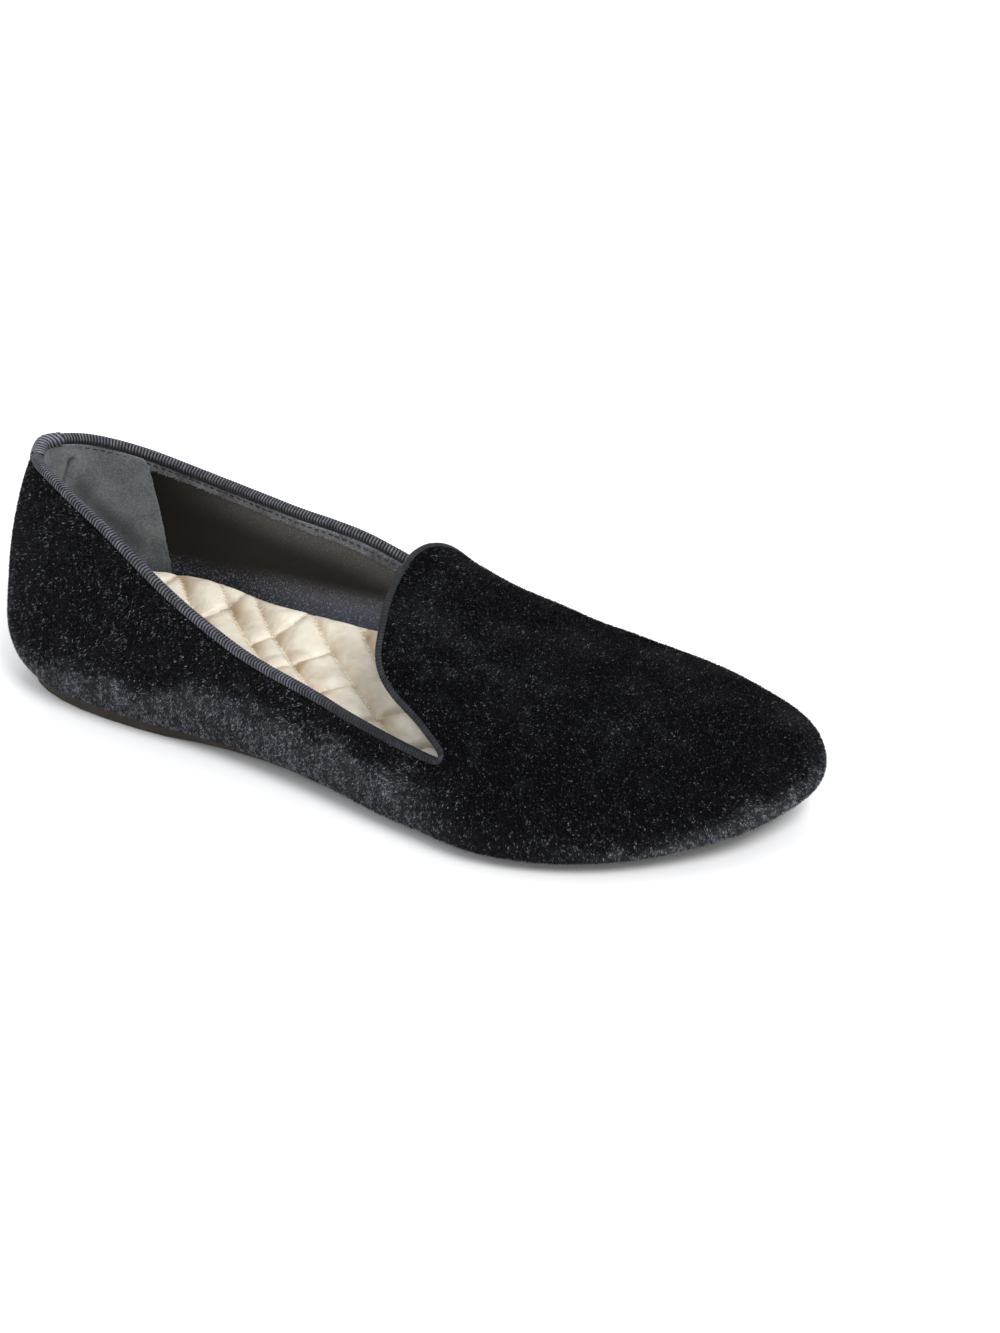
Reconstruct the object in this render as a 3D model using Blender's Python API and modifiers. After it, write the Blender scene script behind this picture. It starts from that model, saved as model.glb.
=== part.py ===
"""Velvet slipper loafer, right shoe, standing empty on its sole.

Frame: +X to the toe, +Y to the inner side of the foot, +Z up, with the origin on the
floor under the middle of the shoe. Everything is in metres.
"""

from collections import namedtuple

import bpy
import numpy as np

# Driving dimensions of the last
LENGTH = 0.2520          # sole edge, heel to toe tip
BREADTH = 0.0845         # sole edge, across the ball
INSTEP_HEIGHT = 0.0560   # crest above the sole at the tongue's top edge
BULGE = 0.0040           # how far the side swells past the sole edge
BULGE_LEVEL = 0.0150     # height above the sole edge where it swells most

# Outsole
SOLE_THICKNESS = 0.0031
HEEL_THICKNESS = 0.0045
ARCH_RISE = 0.0020       # tread above the floor at the arch
TOE_SPRING = 0.0072      # tread above the floor at the toe tip
HEEL_SETBACK = 0.0020    # outsole inside the velvet's edge at the heel
TOE_SETBACK = 0.0055     # the same at the forefoot and toe
TREAD_CHAMFER = 0.0007   # worn lower corner of the outsole
SOLE_CHAMFER = 0.0004    # upper corner of the outsole

# Upper
WALL = 0.0020            # velvet, backing and lining together
EDGE_ROUND = 0.0015      # velvet rolling under above the sole
MARGIN = 0.0090          # lasting margin tucked under the foot

# Insole
INSOLE_THICKNESS = 0.0052
INSOLE_RIM = 0.0030      # its padded edge above its middle

# Topline binding
BINDING_WIDTH = 0.0032
BINDING_THICKNESS = 0.0006

CLEARANCE = 0.0003       # between pieces that lie on each other

# Columns of the upper's grid on each side, from the heel's back to the middle of the toe
COLUMNS = 46
PATH_SAMPLES = 90
CURVE_SAMPLES = 40
BISECTIONS = 34

# Sole edge: place as a share of LENGTH, sides as shares of BREADTH from the heel's axis
Edge = namedtuple("Edge", "place lateral medial")
SOLE_EDGE = (
    Edge(0.000, 0.000, 0.000),
    Edge(0.024, 0.205, 0.198),
    Edge(0.080, 0.300, 0.315),
    Edge(0.180, 0.350, 0.362),
    Edge(0.340, 0.369, 0.335),
    Edge(0.475, 0.424, 0.342),
    Edge(0.615, 0.506, 0.432),
    Edge(0.710, 0.540, 0.460),
    Edge(0.820, 0.446, 0.475),
    Edge(0.915, 0.262, 0.412),
    Edge(0.972, 0.075, 0.314),
    Edge(1.000, -0.176, 0.176),
)

# Underside of the outsole: heel flat, arch, tread flat and toe spring
Tread = namedtuple("Tread", "place arch spring heel")
TREAD = (
    Tread(0.00, 0.00, 0.00, 1.00),
    Tread(0.24, 0.00, 0.00, 1.00),
    Tread(0.31, 0.62, 0.00, 0.45),
    Tread(0.40, 1.00, 0.00, 0.00),
    Tread(0.50, 0.55, 0.00, 0.00),
    Tread(0.58, 0.00, 0.00, 0.00),
    Tread(0.76, 0.00, 0.00, 0.00),
    Tread(0.84, 0.00, 0.12, 0.00),
    Tread(0.92, 0.00, 0.45, 0.00),
    Tread(1.00, 0.00, 1.00, 0.00),
)

# Crest of the last: height as a share of INSTEP_HEIGHT, shift to the medial side of BREADTH
Crest = namedtuple("Crest", "place height shift")
CREST = (
    Crest(-0.10, 1.560, 0.000),
    Crest(0.00, 1.550, 0.000),
    Crest(0.16, 1.470, 0.000),
    Crest(0.32, 1.300, 0.030),
    Crest(0.47, 1.160, 0.068),
    Crest(0.53, 1.000, 0.072),
    Crest(0.60, 0.810, 0.074),
    Crest(0.71, 0.665, 0.086),
    Crest(0.83, 0.560, 0.106),
    Crest(0.95, 0.490, 0.118),
    Crest(1.08, 0.400, 0.120),
)
RIDGE_BACK = 0.143       # ends of the crest line, as shares of LENGTH
RIDGE_FRONT = 0.817

# Cross section along a side: squareness of the dome, and swell as a share of BULGE
Section = namedtuple("Section", "along squareness swell")
SECTIONS = (
    Section(0.0, 2.80, 1.05),
    Section(0.3, 2.65, 0.93),
    Section(0.6, 2.90, 0.93),
    Section(0.8, 2.90, 0.90),
    Section(1.0, 2.40, 0.80),
)

# Topline from the heel's back to the middle of the tongue: place as a share of LENGTH, and
# share of the way round the section, 0 at the sole edge and 1 at the crest
Topline = namedtuple("Topline", "place wrap")
LATERAL_TOPLINE = (
    Topline(0.032, 0.520),
    Topline(0.085, 0.530),
    Topline(0.180, 0.450),
    Topline(0.300, 0.307),
    Topline(0.400, 0.232),
    Topline(0.500, 0.230),
    Topline(0.590, 0.290),
    Topline(0.636, 0.310),
    Topline(0.653, 0.326),
    Topline(0.654, 0.352),
    Topline(0.620, 0.425),
    Topline(0.562, 0.500),
    Topline(0.542, 0.700),
    Topline(0.531, 0.880),
    Topline(0.524, 1.000),
)
MEDIAL_TOPLINE = (
    Topline(0.032, 0.520),
    Topline(0.085, 0.450),
    Topline(0.180, 0.395),
    Topline(0.300, 0.398),
    Topline(0.400, 0.388),
    Topline(0.500, 0.312),
    Topline(0.590, 0.286),
    Topline(0.636, 0.307),
    Topline(0.653, 0.325),
    Topline(0.654, 0.352),
    Topline(0.620, 0.425),
    Topline(0.562, 0.500),
    Topline(0.542, 0.700),
    Topline(0.531, 0.880),
    Topline(0.524, 1.000),
)
WRAP_TO_PLACE = 0.44     # weight of the wrap beside the place when the topline is smoothed

# Where the grid's columns stand: count, share of the topline and share of the sole edge
Column = namedtuple("Column", "count topline edge")
COLUMN_PLACES = (
    Column(0.00, 0.00, 0.00),
    Column(0.12, 0.140, 0.112),
    Column(0.34, 0.560, 0.455),
    Column(0.43, 0.662, 0.530),
    Column(0.60, 0.722, 0.730),
    Column(0.72, 0.810, 0.830),
    Column(1.00, 1.00, 1.00),
)

# Rows of the grid below the binding: shares of the way down to the swell, and then lengths
# above the sole edge as shares of BULGE_LEVEL
UPPER_ROWS = (0.12, 0.25, 0.39, 0.54, 0.70, 0.85)
EDGE_ROWS = (1.05, 0.70, 0.40, 0.17, 0.00)

# Rows that roll under: inset as a share of MARGIN, drop as a share of EDGE_ROUND
Under = namedtuple("Under", "inset drop")
UNDER_ROWS = (Under(0.10, 0.62), Under(0.28, 1.00), Under(1.00, 1.00))

# Rings of the insole's top: inset from the sole edge as a share of MARGIN, share of the rim
Pad = namedtuple("Pad", "inset rim")
PAD_RINGS = (Pad(0.12, 1.00), Pad(0.80, 0.55), Pad(1.80, 0.08))
PAD_EDGE = 0.7           # side of the rim, as a share of its height
CORE_GAP = 0.0012        # round the insole's core, inside the lasting margin
SPRING_GAP = 0.0002      # more height over the margin, which tilts at the toe spring
PAD_FOOT = 0.0042        # underside of the insole's edge, inside the sole edge
PAD_CHAMFER = 0.0020     # height of its lower corner, clear of the rolled edge

# Finish: colour, roughness and metallic of each piece
Finish = namedtuple("Finish", "colour roughness metallic")
FINISHES = {
    "upper": Finish((0.012, 0.013, 0.018), 0.90, 0.0),
    "outsole": Finish((0.045, 0.038, 0.034), 0.60, 0.0),
    "insole": Finish((0.740, 0.680, 0.570), 0.45, 0.0),
    "topline_binding": Finish((0.022, 0.022, 0.026), 0.65, 0.0),
}

LATERAL, MEDIAL = -1.0, 1.0


def smooth_table(rows, column, place):
    """Value of one column at a place, smooth between the rows and never past them."""
    places = np.array([row[0] for row in rows], float)
    values = np.array([getattr(row, column) for row in rows], float)
    steps = np.diff(places)
    slopes = np.diff(values) / steps
    before, after = slopes[:-1], slopes[1:]
    level = before * after <= 0
    total = np.where(level, 1.0, before + after)
    tangents = np.concatenate([slopes[:1], np.where(level, 0.0, 2 * before * after / total), slopes[-1:]])
    place = np.clip(place, places[0], places[-1])
    k = np.clip(np.searchsorted(places, place, side="right") - 1, 0, len(steps) - 1)
    t = (place - places[k]) / steps[k]
    rise = steps[k] * (tangents[k] * t * (1 - t) ** 2 - tangents[k + 1] * t ** 2 * (1 - t))
    return values[k] + (values[k + 1] - values[k]) * t ** 2 * (3 - 2 * t) + rise


def smooth_curve(points, closed=False):
    """Centripetal curve through plane points, evenly sampled between each two."""
    points = np.asarray(points, float)
    if closed:
        points = np.vstack([points[-1:], points, points[:2]])
    else:
        points = np.vstack([2 * points[0] - points[1], points, 2 * points[-1] - points[-2]])
    share = np.linspace(0, 1, CURVE_SAMPLES, endpoint=False)[:, None]
    runs = []
    for a, b, c, d in zip(points, points[1:], points[2:], points[3:]):
        knots = np.cumsum([0.0] + [np.linalg.norm(q - p) ** 0.5 for p, q in ((a, b), (b, c), (c, d))])
        t = knots[1] + (knots[2] - knots[1]) * share

        def between(p, q, i, j):
            return p + (q - p) * (t - knots[i]) / (knots[j] - knots[i])

        ab, bc, cd = between(a, b, 0, 1), between(b, c, 1, 2), between(c, d, 2, 3)
        runs.append(between(between(ab, bc, 0, 2), between(bc, cd, 1, 3), 1, 2))
    runs.append(points[-2:-1])
    return np.vstack(runs)


def along(curve, shares):
    """Points of a curve at shares of its length."""
    lengths = np.concatenate([[0.0], np.cumsum(np.linalg.norm(np.diff(curve, axis=0), axis=1))])
    places = np.asarray(shares) * lengths[-1]
    return np.stack([np.interp(places, lengths, curve[:, k]) for k in range(curve.shape[1])], axis=-1)


def sole_edge_curves():
    """Plan curves of the sole edge, lateral and medial, each from heel to toe."""
    lateral = [(row.place * LENGTH, -row.lateral * BREADTH) for row in SOLE_EDGE]
    medial = [(row.place * LENGTH, row.medial * BREADTH) for row in SOLE_EDGE]
    ring = smooth_curve(lateral + medial[-2:0:-1], closed=True)
    toe = (len(SOLE_EDGE) - 1) * CURVE_SAMPLES
    return {LATERAL: ring[:toe + 1], MEDIAL: ring[toe:][::-1]}


EDGE_CURVES = sole_edge_curves()


def edge(side, u):
    """Plan point of the sole edge at share u of one side's length, heel to toe."""
    u = np.asarray(u, float)
    points = {s: along(EDGE_CURVES[s], u) for s in (LATERAL, MEDIAL)}
    return np.where((np.asarray(side) < 0)[..., None], points[LATERAL], points[MEDIAL])


def outward(side, u):
    """Plan direction that leaves the sole edge at a right angle."""
    step = 0.002
    run = edge(side, np.clip(u + step, 0, 1)) - edge(side, np.clip(u - step, 0, 1))
    run /= np.linalg.norm(run, axis=-1, keepdims=True)
    return np.stack([run[..., 1], -run[..., 0]], -1) * -np.asarray(side)[..., None]


def tread_height(x):
    """Height of the outsole's underside at a place along the shoe."""
    place = x / LENGTH
    return ARCH_RISE * smooth_table(TREAD, "arch", place) + TOE_SPRING * smooth_table(TREAD, "spring", place)


def seat_height(x):
    """Height of the outsole's upper face."""
    heel = smooth_table(TREAD, "heel", x / LENGTH)
    return tread_height(x) + SOLE_THICKNESS + (HEEL_THICKNESS - SOLE_THICKNESS) * heel


def edge_height(x):
    """Height where the upper's side ends and its edge starts to roll under."""
    return seat_height(x) + CLEARANCE + EDGE_ROUND


def crest_height(x):
    """Height of the last's crest."""
    return edge_height(x) + INSTEP_HEIGHT * smooth_table(CREST, "height", x / LENGTH)


def ridge(u):
    """Plan point of the crest line that rib u starts from."""
    x = LENGTH * (RIDGE_BACK + (RIDGE_FRONT - RIDGE_BACK) * u)
    return np.stack([x, BREADTH * smooth_table(CREST, "shift", x / LENGTH)], -1)


def surface(side, u, reach):
    """Point of the last on rib u, at a reach of 0 on the crest line to 1 on the sole edge."""
    foot, start = edge(side, u), ridge(u)
    plan = start + (foot - start) * reach[..., None]
    square = smooth_table(SECTIONS, "squareness", u)
    dome = (1 - np.clip(reach, 0, 1) ** square) ** (1 / square)
    low = edge_height(foot[..., 0])
    height = low + (crest_height(plan[..., 0]) - low) * dome
    level = (height - low) / BULGE_LEVEL
    swell = BULGE * smooth_table(SECTIONS, "swell", u) * level * np.exp(1 - level)
    plan = plan + outward(side, u) * swell[..., None]
    return np.concatenate([plan, height[..., None]], -1)


def reach_of(u, wrap):
    """Reach of a share of the way round the section."""
    return np.cos(wrap * np.pi / 2) ** (2 / smooth_table(SECTIONS, "squareness", u))


def rib_at(side, x, wrap):
    """Rib whose point at this wrap lies at x along the shoe."""
    low, high = np.zeros_like(x), np.ones_like(x)
    for _ in range(BISECTIONS):
        middle = (low + high) / 2
        short = surface(side, middle, reach_of(middle, wrap))[..., 0] < x
        low, high = np.where(short, middle, low), np.where(short, high, middle)
    return (low + high) / 2


def on_plan(plan):
    """Point of the last over a plan point, counted before the side swells."""
    ends = ridge(np.array([0.0, 1.0]))
    heel, toe = EDGE_CURVES[LATERAL][0], EDGE_CURVES[LATERAL][-1]
    x = plan[..., 0]
    crest = ridge((x / LENGTH - RIDGE_BACK) / (RIDGE_FRONT - RIDGE_BACK))[..., 1]
    behind = heel[1] + (ends[0, 1] - heel[1]) * (x - heel[0]) / (ends[0, 0] - heel[0])
    ahead = ends[1, 1] + (toe[1] - ends[1, 1]) * (x - ends[1, 0]) / (toe[0] - ends[1, 0])
    middle = np.where(x < ends[0, 0], behind, np.where(x > ends[1, 0], ahead, crest))
    side = np.where(plan[..., 1] < middle, LATERAL, MEDIAL)
    low, high = np.zeros_like(x), np.ones_like(x)
    for _ in range(BISECTIONS):
        u = (low + high) / 2
        start = ridge(u)
        rib, gap = edge(side, u) - start, plan - start
        ahead_of = (rib[..., 0] * gap[..., 1] - rib[..., 1] * gap[..., 0]) * -side > 0
        low, high = np.where(ahead_of, u, low), np.where(ahead_of, high, u)
    u = (low + high) / 2
    start = ridge(u)
    reach = np.linalg.norm(plan - start, axis=-1) / np.linalg.norm(edge(side, u) - start, axis=-1)
    return surface(side, u, np.clip(reach, 0, 1))


def topline_plan(side, rows, shares):
    """Plan points of one side's topline at shares of its smooth length."""
    curve = smooth_curve([(row.place, row.wrap * WRAP_TO_PLACE) for row in rows])
    curve = along(curve, np.linspace(0, 1, 4 * PATH_SAMPLES))
    x, wrap = curve[:, 0] * LENGTH, np.clip(curve[:, 1] / WRAP_TO_PLACE, 0, 1)
    sides = np.full_like(x, side)
    u = rib_at(sides, x, wrap)
    u[0] = 0.0
    reach = reach_of(u, wrap)
    true = surface(sides, u, reach)
    lengths = np.concatenate([[0.0], np.cumsum(np.linalg.norm(np.diff(true, axis=0), axis=1))])
    places = shares * lengths[-1]
    u, reach = np.interp(places, lengths, u), np.interp(places, lengths, reach)
    start = ridge(u)
    return start + (edge(np.full_like(u, side), u) - start) * reach[:, None]


def inset_on_surface(plan, points, width):
    """Plan points a width below a closed line of surface points, measured at right angles."""
    step = 0.0002
    tangent = np.roll(points, -1, 0) - np.roll(points, 1, 0)
    tangent /= np.linalg.norm(tangent, axis=1, keepdims=True)

    def slopes(where):
        return [(on_plan(where + move) - on_plan(where - move)) / (2 * step)
                for move in (np.array([step, 0.0]), np.array([0.0, step]))]

    along_x, along_y = slopes(plan)
    normal = np.cross(along_x, along_y)
    normal /= np.linalg.norm(normal, axis=1, keepdims=True)
    target = points + np.cross(tangent, normal) * width
    where = plan.copy()
    for _ in range(12):
        along_x, along_y = slopes(where)
        miss = target - on_plan(where)
        frame = np.stack([along_x, along_y], -1)
        move = np.einsum("nij,nj->ni", np.linalg.pinv(frame), miss)
        size = np.linalg.norm(move, axis=1, keepdims=True)
        where = where + move * np.minimum(1.0, width / np.maximum(size, width * 1e-3)) * 0.7
    return where


def column_shares():
    """Share of the topline and of the sole edge at each column of one side."""
    count = np.linspace(0, 1, COLUMNS + 1)
    return smooth_table(COLUMN_PLACES, "topline", count), smooth_table(COLUMN_PLACES, "edge", count)


def around(lateral, medial):
    """One closed ring: down the lateral side to the toe and back up the medial side."""
    return np.concatenate([lateral, medial[-2:0:-1]])


def inset_ring(setback):
    """Plan ring of the sole edge moved in by a setback, one value for each column."""
    _, u = column_shares()
    rings = []
    for side in (LATERAL, MEDIAL):
        sides = np.full_like(u, side)
        rings.append(edge(sides, u) - outward(sides, u) * setback(u)[:, None])
    rings[1][0] = rings[0][0] = [setback(u)[0], 0.0]
    rings[0][-1] = rings[1][-1] = (rings[0][-1] + rings[1][-1]) / 2
    return around(*rings)


def upper_grid():
    """Outer face of the upper as columns of points, from the topline to the lasting margin."""
    top_share, edge_share = column_shares()
    tops = around(topline_plan(LATERAL, LATERAL_TOPLINE, top_share),
                  topline_plan(MEDIAL, MEDIAL_TOPLINE, top_share))
    topline = on_plan(tops)
    bound = inset_on_surface(tops, topline, BINDING_WIDTH)
    sides = around(np.full(COLUMNS + 1, LATERAL), np.full(COLUMNS + 1, MEDIAL))
    shares = around(edge_share, edge_share)
    feet = edge(sides, shares)
    bend = np.sin(np.linspace(0, np.pi / 2, PATH_SAMPLES)) ** 1.4
    columns = []
    for top, start, foot in zip(topline, bound, feet):
        path = on_plan(start + (foot - start) * bend[:, None])
        length = np.linalg.norm(np.diff(path, axis=0), axis=1).sum()
        low = 1 - np.array(EDGE_ROWS) * BULGE_LEVEL / length
        rows = np.concatenate([[0.0], np.array(UPPER_ROWS) * low[0], low])
        columns.append(np.vstack([top, along(path, rows)]))
    grid = np.array(columns)
    turned_under = []
    for row in UNDER_ROWS:
        plan = inset_ring(lambda u, row=row: np.full_like(u, row.inset * MARGIN))
        height = edge_height(plan[:, 0]) - row.drop * EDGE_ROUND
        turned_under.append(np.column_stack([plan, height]))
    return np.concatenate([grid, np.stack(turned_under, 1)], axis=1)


def strip_faces(columns, rows, closed_rows=False):
    """Quads of a grid that closes on itself from column to column."""
    faces = []
    for i in range(columns):
        for j in range(rows if closed_rows else rows - 1):
            after, below = (i + 1) % columns, (j + 1) % rows
            faces.append((i * rows + j, i * rows + below, after * rows + below, after * rows + j))
    return faces


def rungs(columns, rows, row, upward):
    """Faces that close a ring of the grid with rungs from its lateral to its medial side."""
    half = columns // 2
    faces = []
    for k in range(half):
        loop = [k, k + 1, (columns - k - 1) % columns, (columns - k) % columns]
        loop = [i for n, i in enumerate(loop) if i not in loop[:n]]
        faces.append([i * rows + row for i in (loop if upward else loop[::-1])])
    return faces


def add_object(name, points, faces):
    """New object of a named piece with its finish, in the shoe's collection."""
    mesh = bpy.data.meshes.new(name)
    mesh.from_pydata([tuple(map(float, point)) for point in points], [], faces)
    mesh.update()
    mesh.shade_smooth()
    finish = FINISHES[name]
    material = bpy.data.materials.new(name)
    material.use_nodes = True
    shader = material.node_tree.nodes["Principled BSDF"]
    shader.inputs["Base Color"].default_value = (*finish.colour, 1.0)
    shader.inputs["Roughness"].default_value = finish.roughness
    shader.inputs["Metallic"].default_value = finish.metallic
    material.diffuse_color = (*finish.colour, 1.0)
    mesh.materials.append(material)
    piece = bpy.data.objects.new(name, mesh)
    bpy.data.collections["slipper_loafer"].objects.link(piece)
    return piece


def add_solid(name, rings):
    """Closed solid through rings from its underside to its top, closed by rungs at both ends."""
    grid = np.stack(rings, 1)
    columns, rows = grid.shape[:2]
    faces = strip_faces(columns, rows)
    faces = [face[::-1] for face in faces]
    faces += rungs(columns, rows, 0, upward=False) + rungs(columns, rows, rows - 1, upward=True)
    return add_object(name, grid.reshape(-1, 3), faces)


def make_upper(grid):
    """Hollow upper: the outer face, given its wall on the inside."""
    columns, rows = grid.shape[:2]
    upper = add_object("upper", grid.reshape(-1, 3), strip_faces(columns, rows))
    wall = upper.modifiers.new("wall", "SOLIDIFY")
    wall.thickness = WALL
    wall.offset = -1.0
    return upper


def face_normals(upper, grid):
    """Direction out of the upper's face at each point of its grid."""
    normals = np.zeros(len(upper.data.vertices) * 3)
    upper.data.vertices.foreach_get("normal", normals)
    return normals.reshape(grid.shape)


def make_outsole():
    """Thin sole with a low heel, an arch and toe spring, set back inside the velvet's edge."""
    def setback(u):
        return HEEL_SETBACK + (TOE_SETBACK - HEEL_SETBACK) * np.clip((u - 0.18) / 0.42, 0, 1)

    def ring(chamfer, height):
        plan = inset_ring(lambda u: setback(u) + chamfer)
        return np.column_stack([plan, height(plan[:, 0])])

    return add_solid("outsole", [
        ring(TREAD_CHAMFER, tread_height),
        ring(0.0, lambda x: tread_height(x) + TREAD_CHAMFER),
        ring(0.0, lambda x: seat_height(x) - SOLE_CHAMFER),
        ring(SOLE_CHAMFER, seat_height),
    ])


def inside_ring(grid, normals, height):
    """Ring just clear of the upper's lining, at a height above the sole for each column."""
    ring = []
    feather = 1 + len(UPPER_ROWS) + len(EDGE_ROWS)
    for column, directions in zip(grid, normals):
        side = column[feather::-1] - directions[feather::-1] * (WALL + CLEARANCE)
        level = side[:, 2] - seat_height(side[:, 0])
        top = int(np.argmax(level > height))
        share = np.clip((height - level[top - 1]) / (level[top] - level[top - 1]), 0, 1) if top else 0.0
        point = side[top - 1] + (side[top] - side[top - 1]) * share if top else side[0]
        ring.append([point[0], point[1], seat_height(point[0]) + height])
    return np.array(ring)


def make_insole(grid, normals):
    """Padded footbed that lies on the sole and the lasting margin, inside the upper."""
    under = MARGIN + CORE_GAP
    core = inset_ring(lambda u: np.full_like(u, under))
    low = np.column_stack([core, seat_height(core[:, 0]) + CLEARANCE])
    shelf = WALL + 2 * CLEARANCE + SPRING_GAP
    step = np.column_stack([core, seat_height(core[:, 0]) + shelf])
    rim_height = shelf + INSOLE_THICKNESS + INSOLE_RIM
    rim_side = shelf + (rim_height - shelf) * PAD_EDGE
    side = inside_ring(grid, normals, rim_side)
    bed = inset_ring(lambda u: np.full_like(u, PAD_FOOT))
    rings = [
        low,
        step,
        np.column_stack([bed, seat_height(bed[:, 0]) + shelf]),
        inside_ring(grid, normals, shelf + PAD_CHAMFER),
        side,
    ]
    for pad in PAD_RINGS:
        plan = inset_ring(lambda u, pad=pad: np.full_like(u, pad.inset * MARGIN))
        height = shelf + INSOLE_THICKNESS + INSOLE_RIM * pad.rim
        rings.append(np.column_stack([plan, seat_height(plan[:, 0]) + height]))
    return add_solid("insole", rings)


def make_binding(grid, normals):
    """Ribbon folded over the topline all the way round, from the upper's own face."""
    top, low = grid[:, 0], grid[:, 1]
    out_top, out_low = normals[:, 0], normals[:, 1]
    down = low - top
    down /= np.linalg.norm(down, axis=1, keepdims=True)
    near, far = CLEARANCE, CLEARANCE + BINDING_THICKNESS
    lift = -down * far
    section = [
        low + out_low * near,
        low + out_low * far,
        top + out_top * far,
        top + lift,
        top + lift - out_top * WALL,
        top - out_top * (WALL + far),
        low - out_low * (WALL + far),
        low - out_low * (WALL + near),
        top - out_top * (WALL + near) - down * near,
        top + out_top * near - down * near,
    ]
    rows = len(section)
    ring = np.stack(section, 1)
    faces = [face[::-1] for face in strip_faces(len(ring), rows, closed_rows=True)]
    return add_object("topline_binding", ring.reshape(-1, 3), faces)


def stand_on_origin(pieces):
    """Move every piece so that the origin lies on the floor under the middle of the shoe."""
    bpy.context.view_layer.update()
    depsgraph = bpy.context.evaluated_depsgraph_get()
    corners = np.array([corner for piece in pieces for corner in piece.evaluated_get(depsgraph).bound_box])
    low, high = corners.min(0), corners.max(0)
    for piece in pieces:
        piece.location = (-(low[0] + high[0]) / 2, -(low[1] + high[1]) / 2, -low[2])


def main():
    """Build the shoe in an empty scene."""
    for old in list(bpy.data.objects):
        bpy.data.objects.remove(old)
    shoe = bpy.data.collections.new("slipper_loafer")
    bpy.context.scene.collection.children.link(shoe)
    grid = upper_grid()
    upper = make_upper(grid)
    normals = face_normals(upper, grid)
    pieces = [upper, make_outsole(), make_insole(grid, normals), make_binding(grid, normals)]
    stand_on_origin(pieces)


main()
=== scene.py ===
"""Velvet slipper loafer: the looks of the shoe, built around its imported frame.

Everything is in metres, in the frame's own axes: +X to the toe, +Y to the inner side of the
foot, +Z up, with the floor at zero. Forms are read from the frame's solids and refined.
A table is an array of points as columns of rows, and its first axis runs along the shoe.
"""

import logging
import math
from dataclasses import dataclass
from enum import Enum

import bpy
import numpy as np
from mathutils import Matrix, Vector
from mathutils.bvhtree import BVHTree


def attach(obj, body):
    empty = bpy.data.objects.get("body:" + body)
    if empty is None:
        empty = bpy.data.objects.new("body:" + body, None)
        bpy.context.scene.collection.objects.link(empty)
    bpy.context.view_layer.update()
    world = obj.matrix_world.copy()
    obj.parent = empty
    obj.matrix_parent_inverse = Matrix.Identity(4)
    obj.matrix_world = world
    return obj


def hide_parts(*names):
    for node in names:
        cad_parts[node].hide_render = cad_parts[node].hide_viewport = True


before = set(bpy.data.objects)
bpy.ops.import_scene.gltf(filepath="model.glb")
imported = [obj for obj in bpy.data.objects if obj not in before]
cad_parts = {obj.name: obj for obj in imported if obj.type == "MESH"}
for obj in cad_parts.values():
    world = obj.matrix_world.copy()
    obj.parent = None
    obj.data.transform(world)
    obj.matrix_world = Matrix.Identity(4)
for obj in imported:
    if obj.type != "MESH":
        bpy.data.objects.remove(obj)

log = logging.getLogger("slipper")

Array = np.ndarray
Piece = bpy.types.Object
Material = bpy.types.Material
Socket = bpy.types.NodeSocket
Span = tuple[float, float]
Point = tuple[float, float, float]
Colour = tuple[float, float, float, float]
Patch = tuple[Point, Point, float]
Wave = tuple[int, float, float]

BODY = "root"
MERGE_DISTANCE = 1e-5
RIM_ANGLE = 55.0
RAY_START = 0.2
CROWN = 5


class Side(Enum):
    """Side of the foot; its value is the way that the upper's columns run there."""

    LATERAL = 1
    MEDIAL = -1


class Wall(Enum):
    """Face of the upper's wall; its value turns a table's own direction out of the wall."""

    OUTER = -1.0
    INNER = 1.0


# Arrays and curves


def unit(vectors: Array) -> Array:
    """Vectors on the last axis, brought to length one."""
    return vectors / np.maximum(np.linalg.norm(vectors, axis=-1, keepdims=True), 1e-12)


def smoothstep(low: float, high: float, value: Array) -> Array:
    """Soft step from 0 at low to 1 at high, which falls where high is below low."""
    share = np.clip((value - low) / (high - low), 0.0, 1.0)
    return share * share * (3.0 - 2.0 * share)


def bell(gap: Array, width: float) -> Array:
    """Soft hump, 1 where the gap is zero and fading out past the width."""
    return np.exp(-((gap / width) ** 2))


def patches(points: Array, table: tuple[Patch, ...]) -> Array:
    """Sum of soft round patches, each given by its centre, its half lengths and its strength."""
    return sum(bell((points - c) / size, 1.0).prod(-1) * strength for c, size, strength in table)


def sway(points: Array, seed: int, size: float) -> Array:
    """Smooth wandering value at each point, from -1 to 1 or so.

    Args:
        points: positions, on the last axis.
        seed: which pattern to use.
        size: length of its waves in metres.

    Returns:
        One number for each point.
    """
    rng = np.random.default_rng(seed)
    total = np.zeros(points.shape[:-1])
    for _ in range(7):
        wave = unit(rng.normal(size=3)) * math.tau / (size * rng.uniform(0.6, 1.5))
        total += np.sin(points @ wave + rng.uniform(0, math.tau))
    return total / 3.0


def waves(points: Array, table: tuple[Wave, ...]) -> Array:
    """Sum of wandering values, each given by its seed, its size and its strength."""
    return sum(sway(points, seed, size) * strength for seed, size, strength in table)


def gap_to(points: Array, line: tuple[Point, ...]) -> Array:
    """Distance of each point from a line made of straight parts.

    Args:
        points: positions, on the last axis.
        line: the line's corners.

    Returns:
        One distance for each point.
    """
    gaps = []
    for start, end in zip(np.array(line)[:-1], np.array(line)[1:]):
        way = end - start
        along = np.clip(((points - start) @ way) / (way @ way), 0, 1)
        gaps.append(np.linalg.norm(points - start - along[..., None] * way, axis=-1))
    return np.min(gaps, axis=0)


def lengths_of(line: Array) -> Array:
    """Running length at each point of a line, from zero on."""
    return np.concatenate([[0.0], np.cumsum(np.linalg.norm(np.diff(line, axis=0), axis=1))])


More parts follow.
